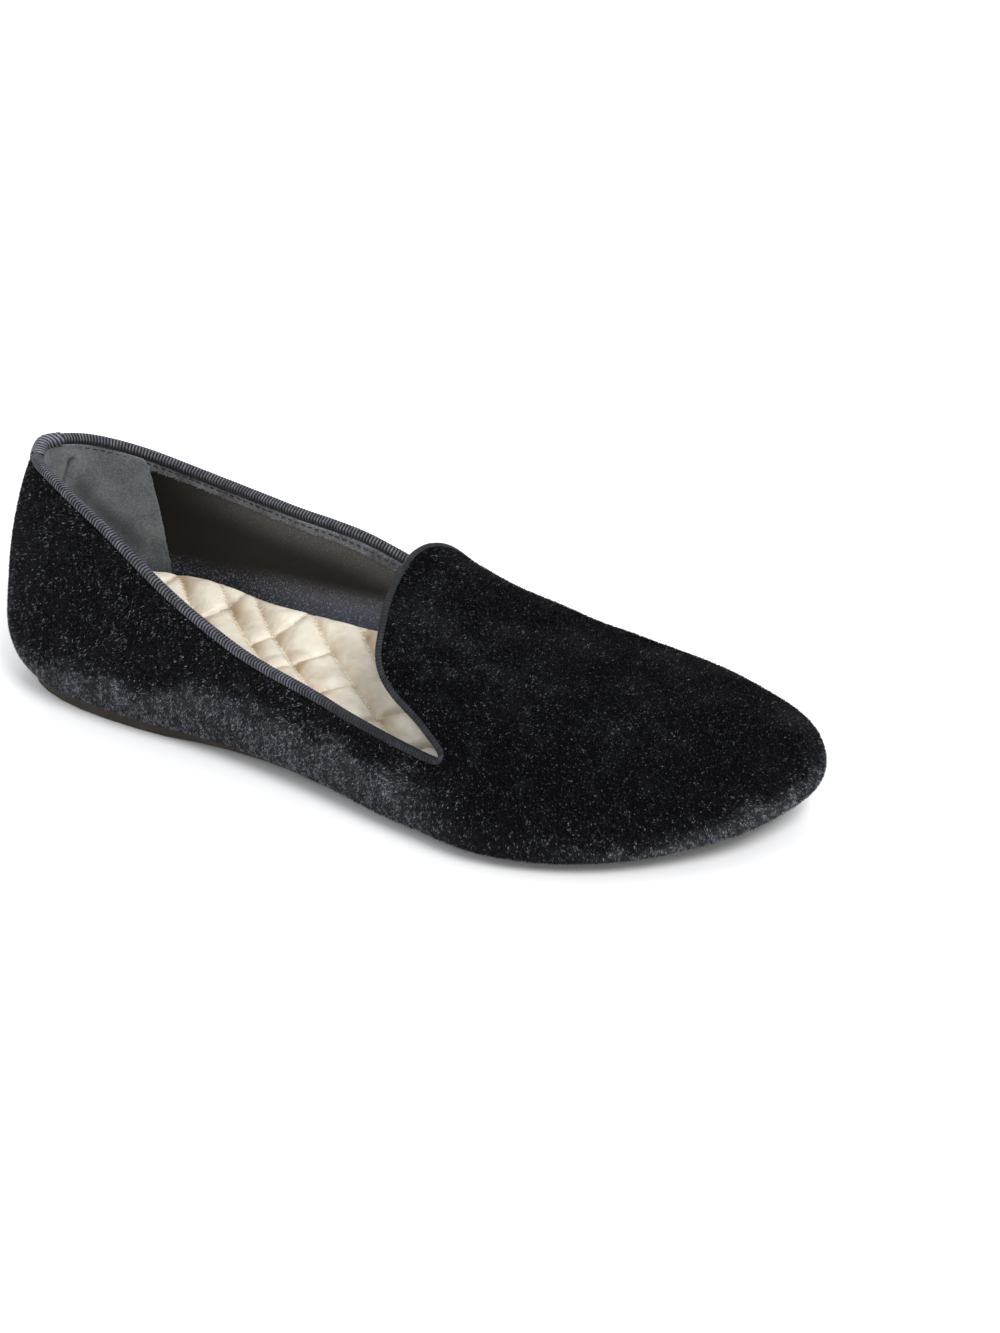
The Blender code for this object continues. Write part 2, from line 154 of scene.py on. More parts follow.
def resample(values: Array, places: Array, closed: bool = True) -> Array:
    """Reads a ring or a line at fractional places, by a Catmull-Rom spline.

    Args:
        values: one entry for each station, of any shape.
        places: stations to read, as fractional numbers.
        closed: whether the values go round.

    Returns:
        One entry for each place.
    """
    base = np.floor(places).astype(int)
    if closed:
        near = [values[(base + shift) % len(values)] for shift in (-1, 0, 1, 2)]
    else:
        base = np.clip(base, 0, len(values) - 2)
        padded = np.concatenate([[2 * values[0] - values[1]], values, [2 * values[-1] - values[-2]]])
        near = [padded[base + shift] for shift in range(4)]
    before, start, end, after = near
    share = (places - base).reshape((-1,) + (1,) * (values.ndim - 1))
    return 0.5 * (
        2 * start
        + (end - before) * share
        + (2 * before - 5 * start + 4 * end - after) * share**2
        + (3 * start - before - 3 * end + after) * share**3
    )


def smooth_rows(grid: Array, places: Array) -> Array:
    """Reads a table at fractional rows, smoothly though its rows stand at uneven distances.

    Args:
        grid: the table.
        places: rows to read, either one list for all columns or one line for each column.

    Returns:
        A table of the new rows.
    """
    steps = np.linalg.norm(np.diff(grid, axis=1), axis=2).mean(0)
    slopes = np.diff(grid, axis=1) / steps[:, None]
    weight = (steps[1:] / (steps[:-1] + steps[1:]))[:, None]
    inner = slopes[:, :-1] * weight + slopes[:, 1:] * (1 - weight)
    tangents = np.concatenate([slopes[:, :1], inner, slopes[:, -1:]], axis=1)
    places = np.broadcast_to(places, (len(grid), np.shape(places)[-1]))
    base = np.clip(np.floor(places).astype(int), 0, len(steps) - 1)
    column = np.arange(len(grid))[:, None]
    share = (places - base)[..., None]
    start, end = grid[column, base], grid[column, base + 1]
    bend = tangents[column, base] * share * (1 - share) ** 2
    bend = bend - tangents[column, base + 1] * share**2 * (1 - share)
    return start + (end - start) * share**2 * (3 - 2 * share) + steps[base][..., None] * bend


def sheet_normals(table: Array) -> Array:
    """Directions off a table, along its first axis times its second one.

    Args:
        table: the points; where the last column repeats the first, they go round.

    Returns:
        One direction for each point.
    """
    ring = np.allclose(table[0], table[-1])
    padded = np.concatenate([table[-2:-1], table, table[1:2]]) if ring else table
    along = np.gradient(padded, axis=0)
    return unit(np.cross(along[1:-1] if ring else along, np.gradient(table, axis=1)))


# Meshes and objects


def choose(piece: Piece) -> None:
    """Selects this object and nothing else, and makes it the active one."""
    bpy.ops.object.select_all(action="DESELECT")
    piece.select_set(True)
    bpy.context.view_layer.objects.active = piece


def positions(piece: Piece) -> Array:
    """Vertex positions of a mesh object, one row each."""
    flat = np.empty(len(piece.data.vertices) * 3)
    piece.data.vertices.foreach_get("co", flat)
    return flat.reshape(-1, 3)


def move_to(piece: Piece, points: Array) -> None:
    """Puts a mesh object's vertices at new positions, one row each."""
    piece.data.vertices.foreach_set("co", points.astype(np.float32).ravel())
    piece.data.update()


def set_attribute(piece: Piece, name: str, values: Array) -> None:
    """Stores one number for each vertex under a name, for the material to read."""
    attribute = piece.data.attributes.get(name) or piece.data.attributes.new(name, "FLOAT", "POINT")
    attribute.data.foreach_set("value", values.astype(np.float32))


def read_attribute(piece: Piece, name: str) -> Array:
    """The numbers stored under a name, one for each vertex."""
    values = np.empty(len(piece.data.vertices))
    piece.data.attributes[name].data.foreach_get("value", values)
    return values


def ray_down(tree: BVHTree, spot: Array) -> tuple[Vector | None, Vector | None]:
    """Point and direction of the first face under a spot, or None twice."""
    return tree.ray_cast(Vector((*spot, RAY_START)), Vector((0, 0, -1)))[:2]


def link(name: str, mesh: bpy.types.Mesh) -> Piece:
    """Puts a mesh into the scene as an object of this name."""
    piece = bpy.data.objects.new(name, mesh)
    bpy.context.scene.collection.objects.link(piece)
    return piece


def apply_modifier(piece: Piece, kind: str, **settings: object) -> None:
    """Adds a modifier, sets it and applies it.

    Args:
        piece: the object to change.
        kind: the modifier's type.
        **settings: its values by name.
    """
    choose(piece)
    modifier = piece.modifiers.new(kind.lower(), kind)
    for key, value in settings.items():
        setattr(modifier, key, value)
    bpy.ops.object.modifier_apply(modifier=modifier.name)


def merge_doubles(piece: Piece) -> Piece:
    """Merges vertices that lie in one place, and leaves none selected.

    Args:
        piece: the object to change.

    Returns:
        The same object, selected and active.
    """
    choose(piece)
    bpy.ops.object.mode_set(mode="EDIT")
    bpy.ops.mesh.select_all(action="SELECT")
    bpy.ops.mesh.remove_doubles(threshold=MERGE_DISTANCE)
    bpy.ops.mesh.select_all(action="DESELECT")
    bpy.ops.object.mode_set(mode="OBJECT")
    return piece


def merged_copy(node: str) -> Piece:
    """Copy of a frame node, selected and active, with its loose triangles merged."""
    return merge_doubles(link(node + "_copy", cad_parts[node].data.copy()))


def grid_sheet(
    name: str, table: Array, closed: bool = False, thickness: float = 0.0, **marks: Array
) -> Piece:
    """Shapes a primitive grid into a sheet through a table of points.

    Its UV map holds running lengths in metres: along the table's first axis, and down its second.

    Args:
        name: the piece's name.
        table: the points; a closed sheet's last column repeats its first.
        closed: whether the sheet closes on itself along its first axis.
        thickness: how far the sheet is thickened, against its faces' direction.
        **marks: numbers to store at the vertices, by attribute name, in the table's shape.

    Returns:
        The sheet, whose faces look along first axis times second axis.
    """
    columns, rows = table.shape[0] - 1, table.shape[1] - 1
    bpy.ops.mesh.primitive_grid_add(x_subdivisions=columns, y_subdivisions=rows, size=1.0)
    piece = bpy.context.object
    piece.name = piece.data.name = name
    flat = positions(piece)
    column = np.rint((flat[:, 0] + 0.5) * columns).astype(int)
    row = np.rint((flat[:, 1] + 0.5) * rows).astype(int)
    move_to(piece, table[column, row])
    for key, values in marks.items():
        set_attribute(piece, key, values[column, row])
    down = np.stack([lengths_of(line) for line in table])
    loops = np.empty(len(piece.data.loops), int)
    piece.data.loops.foreach_get("vertex_index", loops)
    chart = np.stack([lengths_of(table[:, 0])[column[loops]], down[column[loops], row[loops]]], -1)
    piece.data.uv_layers[0].data.foreach_set("uv", chart.astype(np.float32).ravel())
    if closed:
        merge_doubles(piece)
    piece.data.shade_smooth()
    if thickness:
        apply_modifier(piece, "SOLIDIFY", thickness=thickness, offset=-1.0)
    return piece


def dress(piece: Piece, material: Material, slot: str, *nodes: str) -> Piece:
    """Gives a finished piece its material and its body, and hides the frame nodes that it stands for.

    Args:
        piece: the finished piece.
        material: its material.
        slot: not used.
        *nodes: frame nodes that the piece replaces.

    Returns:
        The same piece.
    """
    piece.data.materials.clear()
    piece.data.materials.append(material)
    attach(piece, BODY)
    if nodes:
        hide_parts(*nodes)
    log.info("%s: %d faces", piece.name, len(piece.data.polygons))
    return piece


# The upper's wall, read from the frame


def ring_order(members: set[int], near: list[set[int]], start: int, second: int) -> list[int]:
    """Walks round one closed ring of vertices.

    Args:
        members: the ring's vertices.
        near: neighbours of every vertex.
        start: vertex to start from.
        second: its neighbour on the way to walk.

    Returns:
        The ring's vertices in order.
    """
    order = [start, second]
    while len(order) < len(members):
        order.append(next(v for v in near[order[-1]] & members if v != order[-2]))
    return order


def matching_ring(above: list[int], members: set[int], near: list[set[int]], points: Array) -> list[int]:
    """Orders one ring so that each vertex lies under its neighbour in the ring above.

    Args:
        above: the ring above, in order.
        members: the vertices to order.
        near: neighbours of every vertex.
        points: positions of all vertices.

    Returns:
        The ring's vertices in order.
    """
    best: tuple[float, list[int]] = (math.inf, [])
    for start in near[above[0]] & members:
        for second in near[start] & members:
            order = ring_order(members, near, start, second)
            if all(b in near[a] for a, b in zip(above, order)):
                length = np.linalg.norm(points[above] - points[order], axis=1).sum()
                best = min(best, (length, order))
    return best[1]


def read_rings(piece: Piece) -> Array:
    """Reads an open tube of triangles as rings, from its highest rim to its lowest.

    Rings start at the heel's back and run along the lateral side first.

    Args:
        piece: the tube, which is removed.

    Returns:
        The tube's table.
    """
    points = positions(piece)
    near: list[set[int]] = [set() for _ in piece.data.vertices]
    for edge in piece.data.edges:
        a, b = edge.vertices
        near[a].add(b)
        near[b].add(a)
    uses: dict[tuple[int, int], int] = {}
    for face in piece.data.polygons:
        for key in face.edge_keys:
            uses[key] = uses.get(key, 0) + 1
    rim = {vertex for key, count in uses.items() if count == 1 for vertex in key}
    layer, grown = {max(rim, key=lambda v: points[v, 2])}, True
    while grown:
        more = {w for v in layer for w in near[v] & rim if uses.get((min(v, w), max(v, w))) == 1}
        grown = not more <= layer
        layer |= more
    start = min(layer, key=lambda v: points[v, 0])
    second = min(near[start] & layer, key=lambda v: points[v, 1])
    rings = [ring_order(layer, near, start, second)]
    used = set(layer)
    while layer := {w for v in layer for w in near[v]} - used:
        rings.append(matching_ring(rings[-1], layer, near, points))
        used |= layer
    bpy.data.objects.remove(piece)
    return points[np.array(rings)].transpose(1, 0, 2)


@dataclass
class Skin:
    """One face of the upper's wall, as a table of points from the topline to the margin."""

    grid: Array
    wall: Wall

    @property
    def columns(self) -> int:
        """Number of columns round the shoe."""
        return len(self.grid)

    def at(self, columns: Array, rows: Array) -> Array:
        """Table of the points at fractional columns and rows."""
        return smooth_rows(resample(self.grid, columns), rows)

    def sheet(self, columns: int, rows: int, top: float, spare: float = 0.0) -> Array:
        """Table all round the shoe, from a top row down to the last one, less some spare rows."""
        last = self.grid.shape[1] - 1 - spare
        return self.at(np.linspace(0, self.columns, columns + 1), np.linspace(top, last, rows))

    def pick(self, columns: Array, rows: Array) -> Array:
        """Table whose every point has its own fractional column and row."""
        lines = [self.at(place, row[:, None])[:, 0] for place, row in zip(columns.T, rows.T)]
        return np.stack(lines, axis=1)

    def rows_at(self, columns: Array, depth: float) -> Array:
        """Fractional row of each column that lies at a distance below the topline.

        Args:
            columns: columns to read.
            depth: distance down the wall in metres.

        Returns:
            One row for each column.
        """
        rows = np.linspace(0, 5, 51)
        lines = self.at(columns, rows)
        return np.array([np.interp(depth, lengths_of(line), rows) for line in lines])

    def normals(self, table: Array) -> Array:
        """Directions out of the wall at the points of a table read from this face."""
        return sheet_normals(table) * self.wall.value

    def lifted(self, table: Array, height: Array) -> Array:
        """A table read from this face, moved out of the wall by a height at each point."""
        return table + self.normals(table) * height[..., None]

    def column_at(self, side: Side, x: float, row: int) -> float:
        """Fractional column of one side where a row passes a place along the shoe.

        Args:
            side: lateral or medial.
            x: place along the shoe.
            row: the row to follow.

        Returns:
            The column, counted on from the ring's start.
        """
        steps = np.arange(self.columns // 2 + 1)
        line = np.maximum.accumulate(self.grid[steps * side.value, row, 0])
        return float(np.interp(x, line, steps) * side.value)


def read_upper() -> tuple[Skin, Skin]:
    """Splits the frame's upper at its sharp rims and reads both faces of its wall.

    Returns:
        The outer skin and the inner skin.
    """
    merged_copy("upper")
    bpy.ops.object.mode_set(mode="EDIT")
    bpy.ops.mesh.edges_select_sharp(sharpness=math.radians(RIM_ANGLE))
    bpy.ops.mesh.select_mode(type="FACE")
    bpy.ops.mesh.delete(type="FACE")
    bpy.ops.mesh.select_mode(type="VERT")
    bpy.ops.mesh.select_all(action="SELECT")
    bpy.ops.mesh.separate(type="LOOSE")
    bpy.ops.object.mode_set(mode="OBJECT")
    grids = [read_rings(piece) for piece in list(bpy.context.selected_objects)]
    grids.sort(key=lambda grid: np.ptp(grid[:, 0, 1]))
    return Skin(grids[1], Wall.OUTER), Skin(grids[0], Wall.INNER)


# Materials


class Recipe:
    """Node tree of one material, with short calls that add and join its nodes."""

    def __init__(self, name: str, **values: object) -> None:
        """Starts a principled material.

        Args:
            name: the material's name.
            **values: socket values of the principled shader, with spaces as underscores.
        """
        self.material = bpy.data.materials.new(name)
        self.material.use_nodes = True
        self.tree = self.material.node_tree
        self.shader = next(n for n in self.tree.nodes if n.type == "BSDF_PRINCIPLED")
        for key, value in values.items():
            self.feed(self.shader.inputs[key.replace("_", " ")], value)
        self.place = self.add("TexCoord").outputs["Object"]

    def feed(self, socket: Socket, value: object) -> None:
        """Joins an input to another socket, or gives it a plain value.

        Args:
            socket: the input.
            value: an output socket, a number or a colour.
        """
        if isinstance(value, Socket):
            self.tree.links.new(value, socket)
        else:
            socket.default_value = value

    def add(self, kind: str, *values: object, **settings: object) -> bpy.types.Node:
        """Adds a node, feeds its first inputs and sets its properties.

        Args:
            kind: the node's type, without the words that all types start with.
            *values: sockets or plain values for its inputs, in their order.
            **settings: its properties.

        Returns:
            The node.
        """
        node = self.tree.nodes.new("ShaderNode" + kind)
        for key, value in settings.items():
            setattr(node, key, value)
        for socket, value in zip(node.inputs, values):
            self.feed(socket, value)
        return node

    def maths(self, operation: str, first: object, second: object) -> Socket:
        """Sum, product or other operation on two numbers or sockets."""
        return self.add("Math", first, second, operation=operation).outputs[0]

    def noise(self, scale: float, detail: float, rough: float, place: object = None) -> Socket:
        """Noise around 0.5, at object coordinates or others; its second input isn't used."""
        node = self.add("TexNoise", place or self.place, 0.0, scale, detail, rough)
        return node.outputs[0]

    def attribute(self, name: str) -> Socket:
        """Number stored at each vertex under a name."""
        return self.add("Attribute", attribute_name=name).outputs["Fac"]

    def remap(self, value: object, low: float, high: float, start: float = 0.0, end: float = 1.0) -> Socket:
        """Smooth change from start to end while the value goes from low to high."""
        return self.add("MapRange", value, low, high, start, end, interpolation_type="SMOOTHSTEP").outputs[0]

    def blend(self, share: object, first: object, second: object) -> Socket:
        """Mix of two colours.

        Args:
            share: part of the second colour.
            first: colour at 0.
            second: colour at 1.

        Returns:
            The mixed colour.
        """
        node = self.add("Mix", share, data_type="RGBA")
        self.feed(node.inputs[6], first)
        self.feed(node.inputs[7], second)
        return node.outputs[2]

    def colour(self, value: object) -> None:
        """Sets the shader's base colour to a colour or a socket."""
        self.feed(self.shader.inputs["Base Color"], value)

    def bump(self, height: object, distance: float, strength: float = 1.0) -> None:
        """Adds a layer of bump over those before it.

        Args:
            height: height from 0 to 1.
            distance: height in metres at 1.
            strength: share of the bump that is used.
        """
        node = self.add("Bump", strength, distance)
        self.feed(node.inputs["Height"], height)
        normal = self.shader.inputs["Normal"]
        if normal.is_linked:
            self.feed(node.inputs["Normal"], normal.links[0].from_socket)
        self.feed(normal, node.outputs[0])


@dataclass(frozen=True)
class VelvetFinish:
    """Near-black velvet: dark pile with fine pale painted glints, and lighter patches of brushed pile and
    painted sheen.
    """

    dark: Colour = (0.0016, 0.0017, 0.0022, 1.0)
    lit: Colour = (0.024, 0.026, 0.032, 1.0)
    glint: Colour = (0.11, 0.115, 0.13, 1.0)
    tint: Colour = (0.75, 0.80, 0.92, 1.0)
    pile: float = 0.0004

    def material(self) -> Material:
        """Mixes the velvet.

        Returns:
            Its material, which reads the attribute of brushed pile and painted sheen.
        """
        recipe = Recipe(
            "velvet",
            Roughness=0.95,
            Sheen_Weight=0.015,
            Sheen_Roughness=0.5,
            Sheen_Tint=self.tint,
            Specular_IOR_Level=0.05,
        )
        # Lighter ground where the pile is brushed and where sheen is painted.
        clouds = recipe.remap(recipe.noise(150, 4, 0.65), 0.40, 0.72, -0.16, 0.20)
        lift = recipe.maths("MAXIMUM", recipe.maths("ADD", recipe.attribute("nap_and_sheen"), clouds), 0.0)
        ground = recipe.blend(recipe.maths("MINIMUM", lift, 1.0), self.dark, self.lit)
        edge = recipe.maths("SUBTRACT", 0.66, recipe.maths("MULTIPLY", lift, 0.10))
        fine, coarse = (recipe.maths("SUBTRACT", recipe.noise(size, 1, 0.5), edge) for size in (2300, 1050))
        grains = recipe.remap(coarse, 0.0, 0.12, 0.0, 0.7)
        share = recipe.maths("MAXIMUM", recipe.remap(fine, 0.0, 0.10), grains)
        recipe.colour(recipe.blend(share, ground, self.glint))
        recipe.bump(recipe.noise(900, 3, 0.7), self.pile)
        recipe.bump(recipe.noise(260, 2, 0.5), self.pile, 0.5)
        return recipe.material


@dataclass(frozen=True)
class PileFinish:
    """Single velvet fibres, each dark or with a painted glint."""

    dark: Colour = (0.0016, 0.0017, 0.0022, 1.0)
    glint: Colour = (0.30, 0.315, 0.36, 1.0)

    def material(self) -> Material:
        """Mixes the fibres' material.

        Returns:
            The material, which reads the glint attribute.
        """
        recipe = Recipe("velvet_pile", Roughness=0.6, Specular_IOR_Level=0.2)
        recipe.colour(recipe.blend(recipe.attribute("glint"), self.dark, self.glint))
        return recipe.material


@dataclass(frozen=True)
class RibbonFinish:
    """Charcoal grosgrain, with painted shade in the grooves between its ribs and painted highlights on their
    crowns.
    """

    groove_shade: Colour = (0.0020, 0.0021, 0.0028, 1.0)
    yarn: Colour = (0.068, 0.070, 0.085, 1.0)
    worn: Colour = (0.145, 0.148, 0.174, 1.0)

    def material(self) -> Material:
        """Mixes the ribbon's material.

        Returns:
            The material, which reads the rib attribute of painted highlights on the ribs and painted shade in
            their grooves.
        """
        recipe = Recipe("ribbon", Roughness=0.6, Specular_IOR_Level=0.15)
        yarn = recipe.blend(recipe.remap(recipe.noise(420, 3, 0.6), 0.35, 0.7), self.yarn, self.worn)
        recipe.colour(recipe.blend(recipe.attribute("rib"), self.groove_shade, yarn))
        recipe.bump(recipe.noise(5200, 2, 0.6), 0.00005, 0.7)
        return recipe.material


@dataclass(frozen=True)
class LiningFinish:
    """Olive-black lining with a painted satin sheen above, and duller speckled cloth below, painted lighter
    towards the front.
    """

    # The lit colours are painted light: sheen on the satin, and light on the dull cloth.
    sheen_part: Colour = (0.0042, 0.0040, 0.0032, 1.0)
    sheen_lit: Colour = (0.150, 0.149, 0.141, 1.0)
    dull_part: Colour = (0.024, 0.025, 0.031, 1.0)
    dull_lit: Colour = (0.095, 0.099, 0.130, 1.0)
    speck: Colour = (0.28, 0.287, 0.34, 1.0)

    def material(self) -> Material:
        """Mixes the lining's material.

        Returns:
            The material, which reads the dull attribute and the attribute of painted sheen and light.
        """
        recipe = Recipe("lining", Specular_IOR_Level=0.16)
        dull, glow = recipe.attribute("dull"), recipe.attribute("glow")
        speck = recipe.remap(recipe.noise(1700, 2, 0.7), 0.52, 0.68, 0.0, 0.75)
        # The dull cloth, painted lighter towards the front, with specks.
        cloth = recipe.blend(speck, recipe.blend(glow, self.dull_part, self.dull_lit), self.speck)
        # Painted satin sheen, broken up by the weave.
        thread = recipe.remap(recipe.noise(2300, 2, 0.6), 0.50, 0.72, 0.55, 1.25)
        shine = recipe.maths("MINIMUM", recipe.maths("MULTIPLY", glow, thread), 1.0)
        recipe.colour(recipe.blend(dull, recipe.blend(shine, self.sheen_part, self.sheen_lit), cloth))
        recipe.feed(recipe.shader.inputs["Roughness"], recipe.remap(dull, 0.0, 1.0, 0.44, 0.85))
        recipe.bump(recipe.noise(2600, 2, 0.5), 0.00006, 0.6)
        return recipe.material


@dataclass(frozen=True)
class SuedeFinish:
    """Grey-green suede of the heel grip, or the paler raw cloth beside it."""

    name: str
    base: Colour = (0.118, 0.134, 0.144, 1.0)
    rubbed: Colour = (0.225, 0.247, 0.262, 1.0)
    shade_height: Span = (0.018, 0.044)
    shade: Colour = (0.016, 0.018, 0.020, 1.0)
    # Colour of the painted shadow in creases and folds.
    hollow_shade: Colour = (0.020, 0.022, 0.026, 1.0)

    def material(self) -> Material:
        """Mixes the suede, with painted shade low down in the shoe and where a piece marks painted shadows.

        Returns:
            Its material, which reads the shadow attribute where a piece has one.
        """
        recipe = Recipe(
            self.name, Roughness=0.95, Sheen_Weight=0.2, Sheen_Roughness=0.5, Specular_IOR_Level=0.1
        )
        broad = recipe.remap(recipe.noise(130, 3, 0.6), 0.35, 0.68)
        fine = recipe.remap(recipe.noise(1500, 3, 0.8), 0.42, 0.62, -0.15, 1.0)
        share = recipe.maths("MULTIPLY", recipe.maths("ADD", broad, fine), 0.6)
        height = recipe.add("SeparateXYZ", recipe.place).outputs[2]
        lit = recipe.remap(height, *self.shade_height, 0.45, 1.0)
        shaded = recipe.blend(lit, self.shade, self.base)
        worn = recipe.blend(recipe.maths("MULTIPLY", share, lit), shaded, self.rubbed)
        recipe.colour(recipe.blend(recipe.attribute("shadow"), worn, self.hollow_shade))
        recipe.bump(recipe.noise(1900, 3, 0.7), 0.00018, 0.8)
        return recipe.material


@dataclass(frozen=True)
class SatinFinish:
    """Ivory satin over foam, with painted shade on the pillows' flanks and along the seams."""

    light: Colour = (0.93, 0.86, 0.72, 1.0)
    shade: Colour = (0.42, 0.29, 0.165, 1.0)
    # Painted shade along the seams' channels.
    seam: Colour = (0.36, 0.26, 0.155, 1.0)
    tint: Colour = (1.0, 0.93, 0.80, 1.0)
    creases: Point = (420, 180, 150)

    def material(self) -> Material:
        """Mixes the satin.

        Returns:
            Its material, which reads the attributes of painted shade along the seams and on the flanks.
        """
        recipe = Recipe(
            "satin",
            Roughness=0.38,
            Anisotropic=0.4,
            Sheen_Weight=0.15,
            Sheen_Roughness=0.3,
            Sheen_Tint=self.tint,
            Specular_IOR_Level=0.5,
        )
        cloudy = recipe.remap(recipe.noise(160, 2, 0.5), 0.35, 0.7, -0.10, 0.14)
        share = recipe.maths("ADD", recipe.attribute("painted_flank_shade"), cloudy)
        share = recipe.maths("MAXIMUM", recipe.maths("MINIMUM", share, 1.0), 0.0)
        cloud = recipe.blend(share, self.light, self.shade)
        recipe.colour(recipe.blend(recipe.attribute("seam"), cloud, self.seam))
        recipe.bump(recipe.noise(3000, 1, 0.5), 0.00002, 0.5)
        stretched = recipe.add("Mapping", recipe.place)
        recipe.feed(stretched.inputs["Scale"], self.creases)
        creases = recipe.noise(1.0, 2, 0.5, stretched.outputs[0])
        recipe.bump(recipe.remap(creases, 0.3, 0.7), 0.00020, 0.6)
        return recipe.material


@dataclass(frozen=True)
class ThreadFinish:
    """Sewing thread."""

    name: str
    colour: Colour

    def material(self) -> Material:
        """Mixes the thread's material.

        Returns:
            The material.
        """
        recipe = Recipe(self.name, Roughness=0.6, Specular_IOR_Level=0.35)
        recipe.colour(self.colour)
        return recipe.material


@dataclass(frozen=True)
class RubberFinish:
    """Matte warm brown-black rubber, with a fine pattern under the sole."""

    base: Colour = (0.020, 0.015, 0.011, 1.0)
    dusty: Colour = (0.038, 0.030, 0.023, 1.0)
    tread: float = 0.0003

    def material(self) -> Material:
        """Mixes the rubber, with its tread only where faces look down.

        Returns:
            Its material.
        """
        recipe = Recipe("sole_rubber", Roughness=0.72, Specular_IOR_Level=0.3)
        dust = recipe.remap(recipe.noise(90, 4, 0.6), 0.4, 0.75)
        recipe.colour(recipe.blend(dust, self.base, self.dusty))
        recipe.bump(recipe.noise(1500, 3, 0.6), 0.00008, 0.6)
        wave = recipe.add("TexWave", recipe.place, 190.0, 0.0, wave_type="BANDS", bands_direction="DIAGONAL")
        facing = recipe.add("SeparateXYZ", recipe.add("NewGeometry").outputs["Normal"]).outputs[2]
        under = recipe.remap(facing, -0.85, -0.95)
        recipe.bump(recipe.maths("MULTIPLY", wave.outputs["Fac"], under), self.tread, 0.8)
        return recipe.material


# The pieces


@dataclass(frozen=True)
class NapAndSheen:
    """Where the velvet is lighter, from brushed pile and painted sheen, and where it is darkest."""

    ragged: tuple[Wave, ...] = ((3, 0.016, 0.0028), (8, 0.006, 0.0018), (9, 0.0026, 0.0014))
    band: float = 0.0165
    waist: Span = (-0.095, -0.030)
    waist_rise: float = 0.009
    ball: Span = (0.0, 0.045)
    ball_drop: float = 0.006
    band_above: float = 0.0055
    band_below: float = 0.0045
    band_end: Span = (0.056, 0.014)
    band_side: Span = (0.012, -0.006)
    heel: Patch = ((-0.127, -0.008, 0.025), (0.012, 0.018, 0.019), 1.0)
    heel_share: float = 0.9
    heel_ragged: float = 0.012
    toe_lift: float = 0.010
    toe_tip: Span = (0.095, 0.127)
    toe_height: Span = (0.0125, 0.0070)
    toe_start: Span = (0.070, 0.100)
    inner_height: Span = (0.030, 0.012)
    inner_side: Span = (0.0, 0.02)
    inner_share: float = 0.45
    darkest: float = -0.2
    pale: tuple[Patch, ...] = (
        ((0.026, -0.010, 0.045), (0.018, 0.012, 0.020), 0.20),
        ((0.052, -0.016, 0.034), (0.024, 0.010, 0.014), 0.14),
        ((0.084, -0.010, 0.030), (0.012, 0.010, 0.014), 0.12),
        ((0.048, -0.036, 0.016), (0.020, 0.010, 0.010), 0.14),
    )
    dark: tuple[Patch, ...] = (
        ((0.006, -0.030, 0.026), (0.014, 0.012, 0.010), 0.25),
        ((-0.112, -0.020, 0.052), (0.018, 0.016, 0.016), 0.10),
    )

    def at(self, points: Array) -> Array:
        """Share of lighter pile at each point, partly brushed pile and partly painted sheen.

        Args:
            points: one row for each point.

        Returns:
            Shares from a little below 0, where the pile is darkest, to 1.
        """
        x, y, z = points.T
        ragged = waves(points, self.ragged)
        height = self.band + self.waist_rise * smoothstep(*self.waist, x)
        height = height - self.ball_drop * smoothstep(*self.ball, x) + ragged
        # Lighter band low on the lateral quarter, patch at the heel and lower inner side: brushed pile with
        # painted sheen.
        quarter = smoothstep(height + self.band_above, height - self.band_below, z)
        quarter = quarter * smoothstep(*self.band_end, x) * smoothstep(*self.band_side, y)
        heel = patches(points, (self.heel,)) * (self.heel_share + ragged / self.heel_ragged)
        # Painted sheen along the toe's lower rim.
        lip = z + ragged * 0.5 - self.toe_lift * smoothstep(*self.toe_tip, x)
        toe = smoothstep(*self.toe_height, lip) * smoothstep(*self.toe_start, x)
        inner = smoothstep(*self.inner_height, z + ragged) * smoothstep(*self.inner_side, y)
        lit = np.maximum.reduce([quarter, heel, toe, inner * self.inner_share])
        dark = patches(points, self.dark) * (1 - lit)
        return np.clip(lit + patches(points, self.pale) - dark, self.darkest, 1)


@dataclass
class VelvetUpper:
    """Outer face of the upper: velvet from under the ribbon to the turned-under margin."""

    skin: Skin
    finish: VelvetFinish = VelvetFinish()
    nap_and_sheen: NapAndSheen = NapAndSheen()
    thickness: float = 0.0010
    columns: int = 400
    rows: int = 62
    top_row: float = 0.3
    loose: Span = (0.010, 0.022)
    lumps: tuple[Wave, ...] = ((21, 0.030, 0.00022),)
    dents: tuple[Patch, ...] = (
        ((0.060, -0.030, 0.026), (0.014, 0.010, 0.010), -0.0006),
        ((0.020, 0.002, 0.055), (0.010, 0.016, 0.012), -0.0004),
        ((-0.060, -0.034, 0.022), (0.022, 0.010, 0.007), 0.0004),
    )

    def shape(self, table: Array) -> Array:
        """The lasted form, softened with the dents and swellings of worn-in cloth."""
        worn = waves(table, self.lumps) + patches(table, self.dents)
        return self.skin.lifted(table, worn * smoothstep(*self.loose, table[..., 2]))

    def build(self) -> Piece:
        """Makes the velvet.

        Returns:
            The finished piece.
        """
        table = self.shape(self.skin.sheet(self.columns, self.rows, self.top_row))
        piece = grid_sheet("velvet_upper", table[::-1], closed=True, thickness=self.thickness)
        # Brushed pile and painted sheen, for the material to read.
        set_attribute(piece, "nap_and_sheen", self.nap_and_sheen.at(positions(piece)))
        return dress(piece, self.finish.material(), "velvet", "upper")


